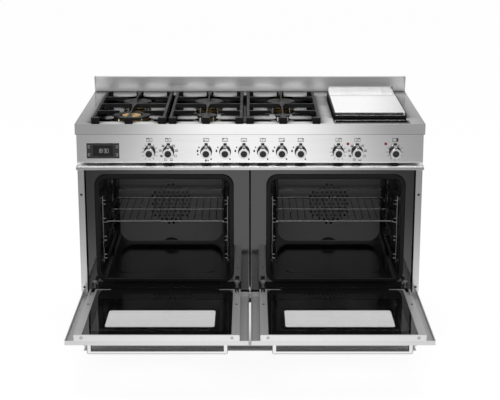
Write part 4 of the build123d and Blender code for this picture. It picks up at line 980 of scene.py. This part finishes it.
def hinge_latches():
    """Mushroom-shaped catches above the hinges, on the oven faces."""
    mesh = bmesh.new()
    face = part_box("oven_face_left")[0].y
    rise = (LATCH_Z[1] - LATCH_Z[0]) / 2
    half = [(u, v * rise) for u, v in LATCH_HALF]
    outline = half + [(-u, v) for u, v in half[::-1]]
    for x in LATCH_X:
        for side in (-1, 1):
            place = axes((side * x, face, (LATCH_Z[0] + LATCH_Z[1]) / 2), FRONT)
            prism(mesh, place, outline, 0.0, LATCH_THICKNESS)
    zinc = bright("latch_zinc", tone=0.38, rough=0.25)
    piece("hinge_latches", mesh, [zinc], ROOT)


def burner_pins():
    """Ceramic igniter and thermocouple beside each burner."""
    mesh = bmesh.new()
    for support, row, radius in BURNERS:
        low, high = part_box("pan_support_" + support)
        x = (low.x + high.x) / 2
        reach = radius + PIN_GAP
        for slot, (angle, profile) in enumerate(zip(PIN_ANGLES, (IGNITER, PROBE))):
            turn = math.radians(angle)
            y = BURNER_Y[row] + reach * math.sin(turn)
            place = axes((x + reach * math.cos(turn), y, DECK_Z), UP)
            turned(mesh, place, profile, PIN_SIDES, slot)
    ceramic = paint("ceramic", (0.80, 0.79, 0.76, 1.0), rough=0.3)
    metal = bright("probe_metal", tone=0.72, rough=0.2)
    piece("burner_pins", mesh, [ceramic, metal], ROOT)


def pillar_screws(dark):
    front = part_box("front_pillars")[0].y
    places = [(side * PILLAR_SCREW_X, front, z) for side in (-1, 1) for z in PILLAR_SCREW_Z]
    screw_heads("pillar_screws", places, FRONT, SCREW_RADIUS, dark)


def rear_screws():
    """Screws along the four edges of the rear panel."""
    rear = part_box("rear_panel")[1].y
    ends_x, ends_z = (REAR_SCREWS_X[0], REAR_SCREWS_X[-1]), (REAR_SCREWS_Z[0], REAR_SCREWS_Z[-1])
    places = [(x, rear, z) for x in REAR_SCREWS_X for z in ends_z]
    places += [(x, rear, z) for x in ends_x for z in REAR_SCREWS_Z[1:-1]]
    zinc = bright("screw_zinc", tone=0.66, rough=0.25)
    screw_heads("rear_screws", places, -FRONT, SCREW_RADIUS * REAR_SCREW_SHARE, zinc)


def fittings():
    dark = gloss_black("blackened_screw", tone=0.015, rough=0.35)
    panel_marks()
    clock_face()
    pillar_screws(dark)
    rear_screws()
    for side in SIDES:
        door_screws(side, dark)
    rail_cove()
    kick_ends()
    hinge_latches()
    burner_pins()


def seen_directly(tree):
    """1 for what the camera sees, also in metal and through glass."""
    path = node(tree, "ShaderNodeLightPath").outputs
    straight = larger(tree, path["Is Camera Ray"], path["Is Glossy Ray"])
    return larger(tree, straight, path["Is Transmission Ray"])


def floor_material():
    """Pale floor that shows white, with the real shadow under the cooker and a soft one round it.

    In metal it is grey off to both sides in front, and grey close to the cooker as a painted
    shadow.
    """
    made = bpy.data.materials.new("pale_floor")
    made.use_nodes = True
    tree = made.node_tree
    tree.nodes.clear()
    place = rest_place(tree)
    aside = fade(tree, math_node(tree, "ABSOLUTE", place["X"]), *FLOOR_ASIDE)
    ahead = fade(tree, place["Y"], *FLOOR_AHEAD)
    # Painted shadow close to the cooker, for reflections only
    near_shadow = fade(tree, place["Y"], *FLOOR_NEAR_SHADOW)
    dark = larger(tree, near_shadow, times(tree, aside, ahead))
    path = node(tree, "ShaderNodeLightPath").outputs
    plain = larger(tree, path["Is Camera Ray"], path["Is Transmission Ray"])
    level = larger(tree, plain, less(tree, 1.0, times(tree, dark, FLOOR_DARK)))
    shown = node(tree, "ShaderNodeEmission", {"Color": level, "Strength": FLOOR_GLOW})
    lit = node(tree, "ShaderNodeBsdfDiffuse", {"Color": grey(FLOOR_TONE)})
    low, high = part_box("side_panels")
    under = inside(tree, X=(low.x, high.x), Y=(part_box("kick_panel")[0].y, high.y))
    own = times(tree, less(tree, 1.0, under), FLOOR_SHARE)
    share = times(tree, seen_directly(tree), own)
    mixed = node(tree, "ShaderNodeMixShader", {0: share, 1: lit.outputs[0], 2: shown.outputs[0]})
    node(tree, "ShaderNodeOutputMaterial", {"Surface": mixed.outputs[0]})
    return made


def world():
    """White behind the cooker, greyer to the sides and in front."""
    made = bpy.data.worlds.new("studio")
    made.use_nodes = True
    tree = made.node_tree
    tree.nodes.clear()
    place = node(tree, "ShaderNodeTexCoord").outputs["Generated"]
    way = node(tree, "ShaderNodeSeparateXYZ", {"Vector": place}).outputs
    behind = fade(tree, way["Y"], *WORLD_BEHIND)
    aside = fade(tree, math_node(tree, "ABSOLUTE", way["X"]), *WORLD_ASIDE)
    path = node(tree, "ShaderNodeLightPath").outputs
    level = larger(tree, path["Is Camera Ray"], times(tree, behind, aside))
    shown = node(tree, "ShaderNodeBackground", {"Color": level, "Strength": 1.0})
    light = node(tree, "ShaderNodeBackground", {"Color": grey(1.0), "Strength": WORLD_LIGHT})
    inputs = {0: seen_directly(tree), 1: light.outputs[0], 2: shown.outputs[0]}
    mixed = node(tree, "ShaderNodeMixShader", inputs)
    node(tree, "ShaderNodeOutputWorld", {"Surface": mixed.outputs[0]})
    return made


def softbox(name, place, size, power, target):
    light = bpy.data.lights.new(name, "AREA")
    light.shape = "RECTANGLE"
    light.size, light.size_y = size
    light.energy = power
    holder = bpy.data.objects.new(name, light)
    holder.location = place
    aim = Vector(target) - Vector(place)
    holder.rotation_euler = aim.to_track_quat("-Z", "Y").to_euler()
    holder.visible_camera = False
    bpy.context.scene.collection.objects.link(holder)


def stage():
    """Floor, world, lamps and camera."""
    scene = bpy.context.scene
    scene.view_settings.view_transform = "Standard"
    mesh = bpy.data.meshes.new("floor")
    corners = [(x, y, 0) for x, y in rectangle((0, 0), (2 * FLOOR_HALF, 2 * FLOOR_HALF))]
    mesh.from_pydata(corners, [], [(0, 1, 2, 3)])
    floor = bpy.data.objects.new("floor", mesh)
    scene.collection.objects.link(floor)
    mesh.materials.append(floor_material())
    scene.world = world()
    for lamp in SOFTBOXES:
        softbox(*lamp)
    camera = bpy.data.cameras.new("camera")
    camera.sensor_width = SENSOR_WIDTH
    camera.lens = CAMERA_LENS
    holder = bpy.data.objects.new("camera", camera)
    holder.location = CAMERA_PLACE
    holder.rotation_euler = (math.pi / 2 - CAMERA_TILT, 0, 0)
    scene.collection.objects.link(holder)
    scene.camera = holder


dress_nodes()
fittings()
stage()
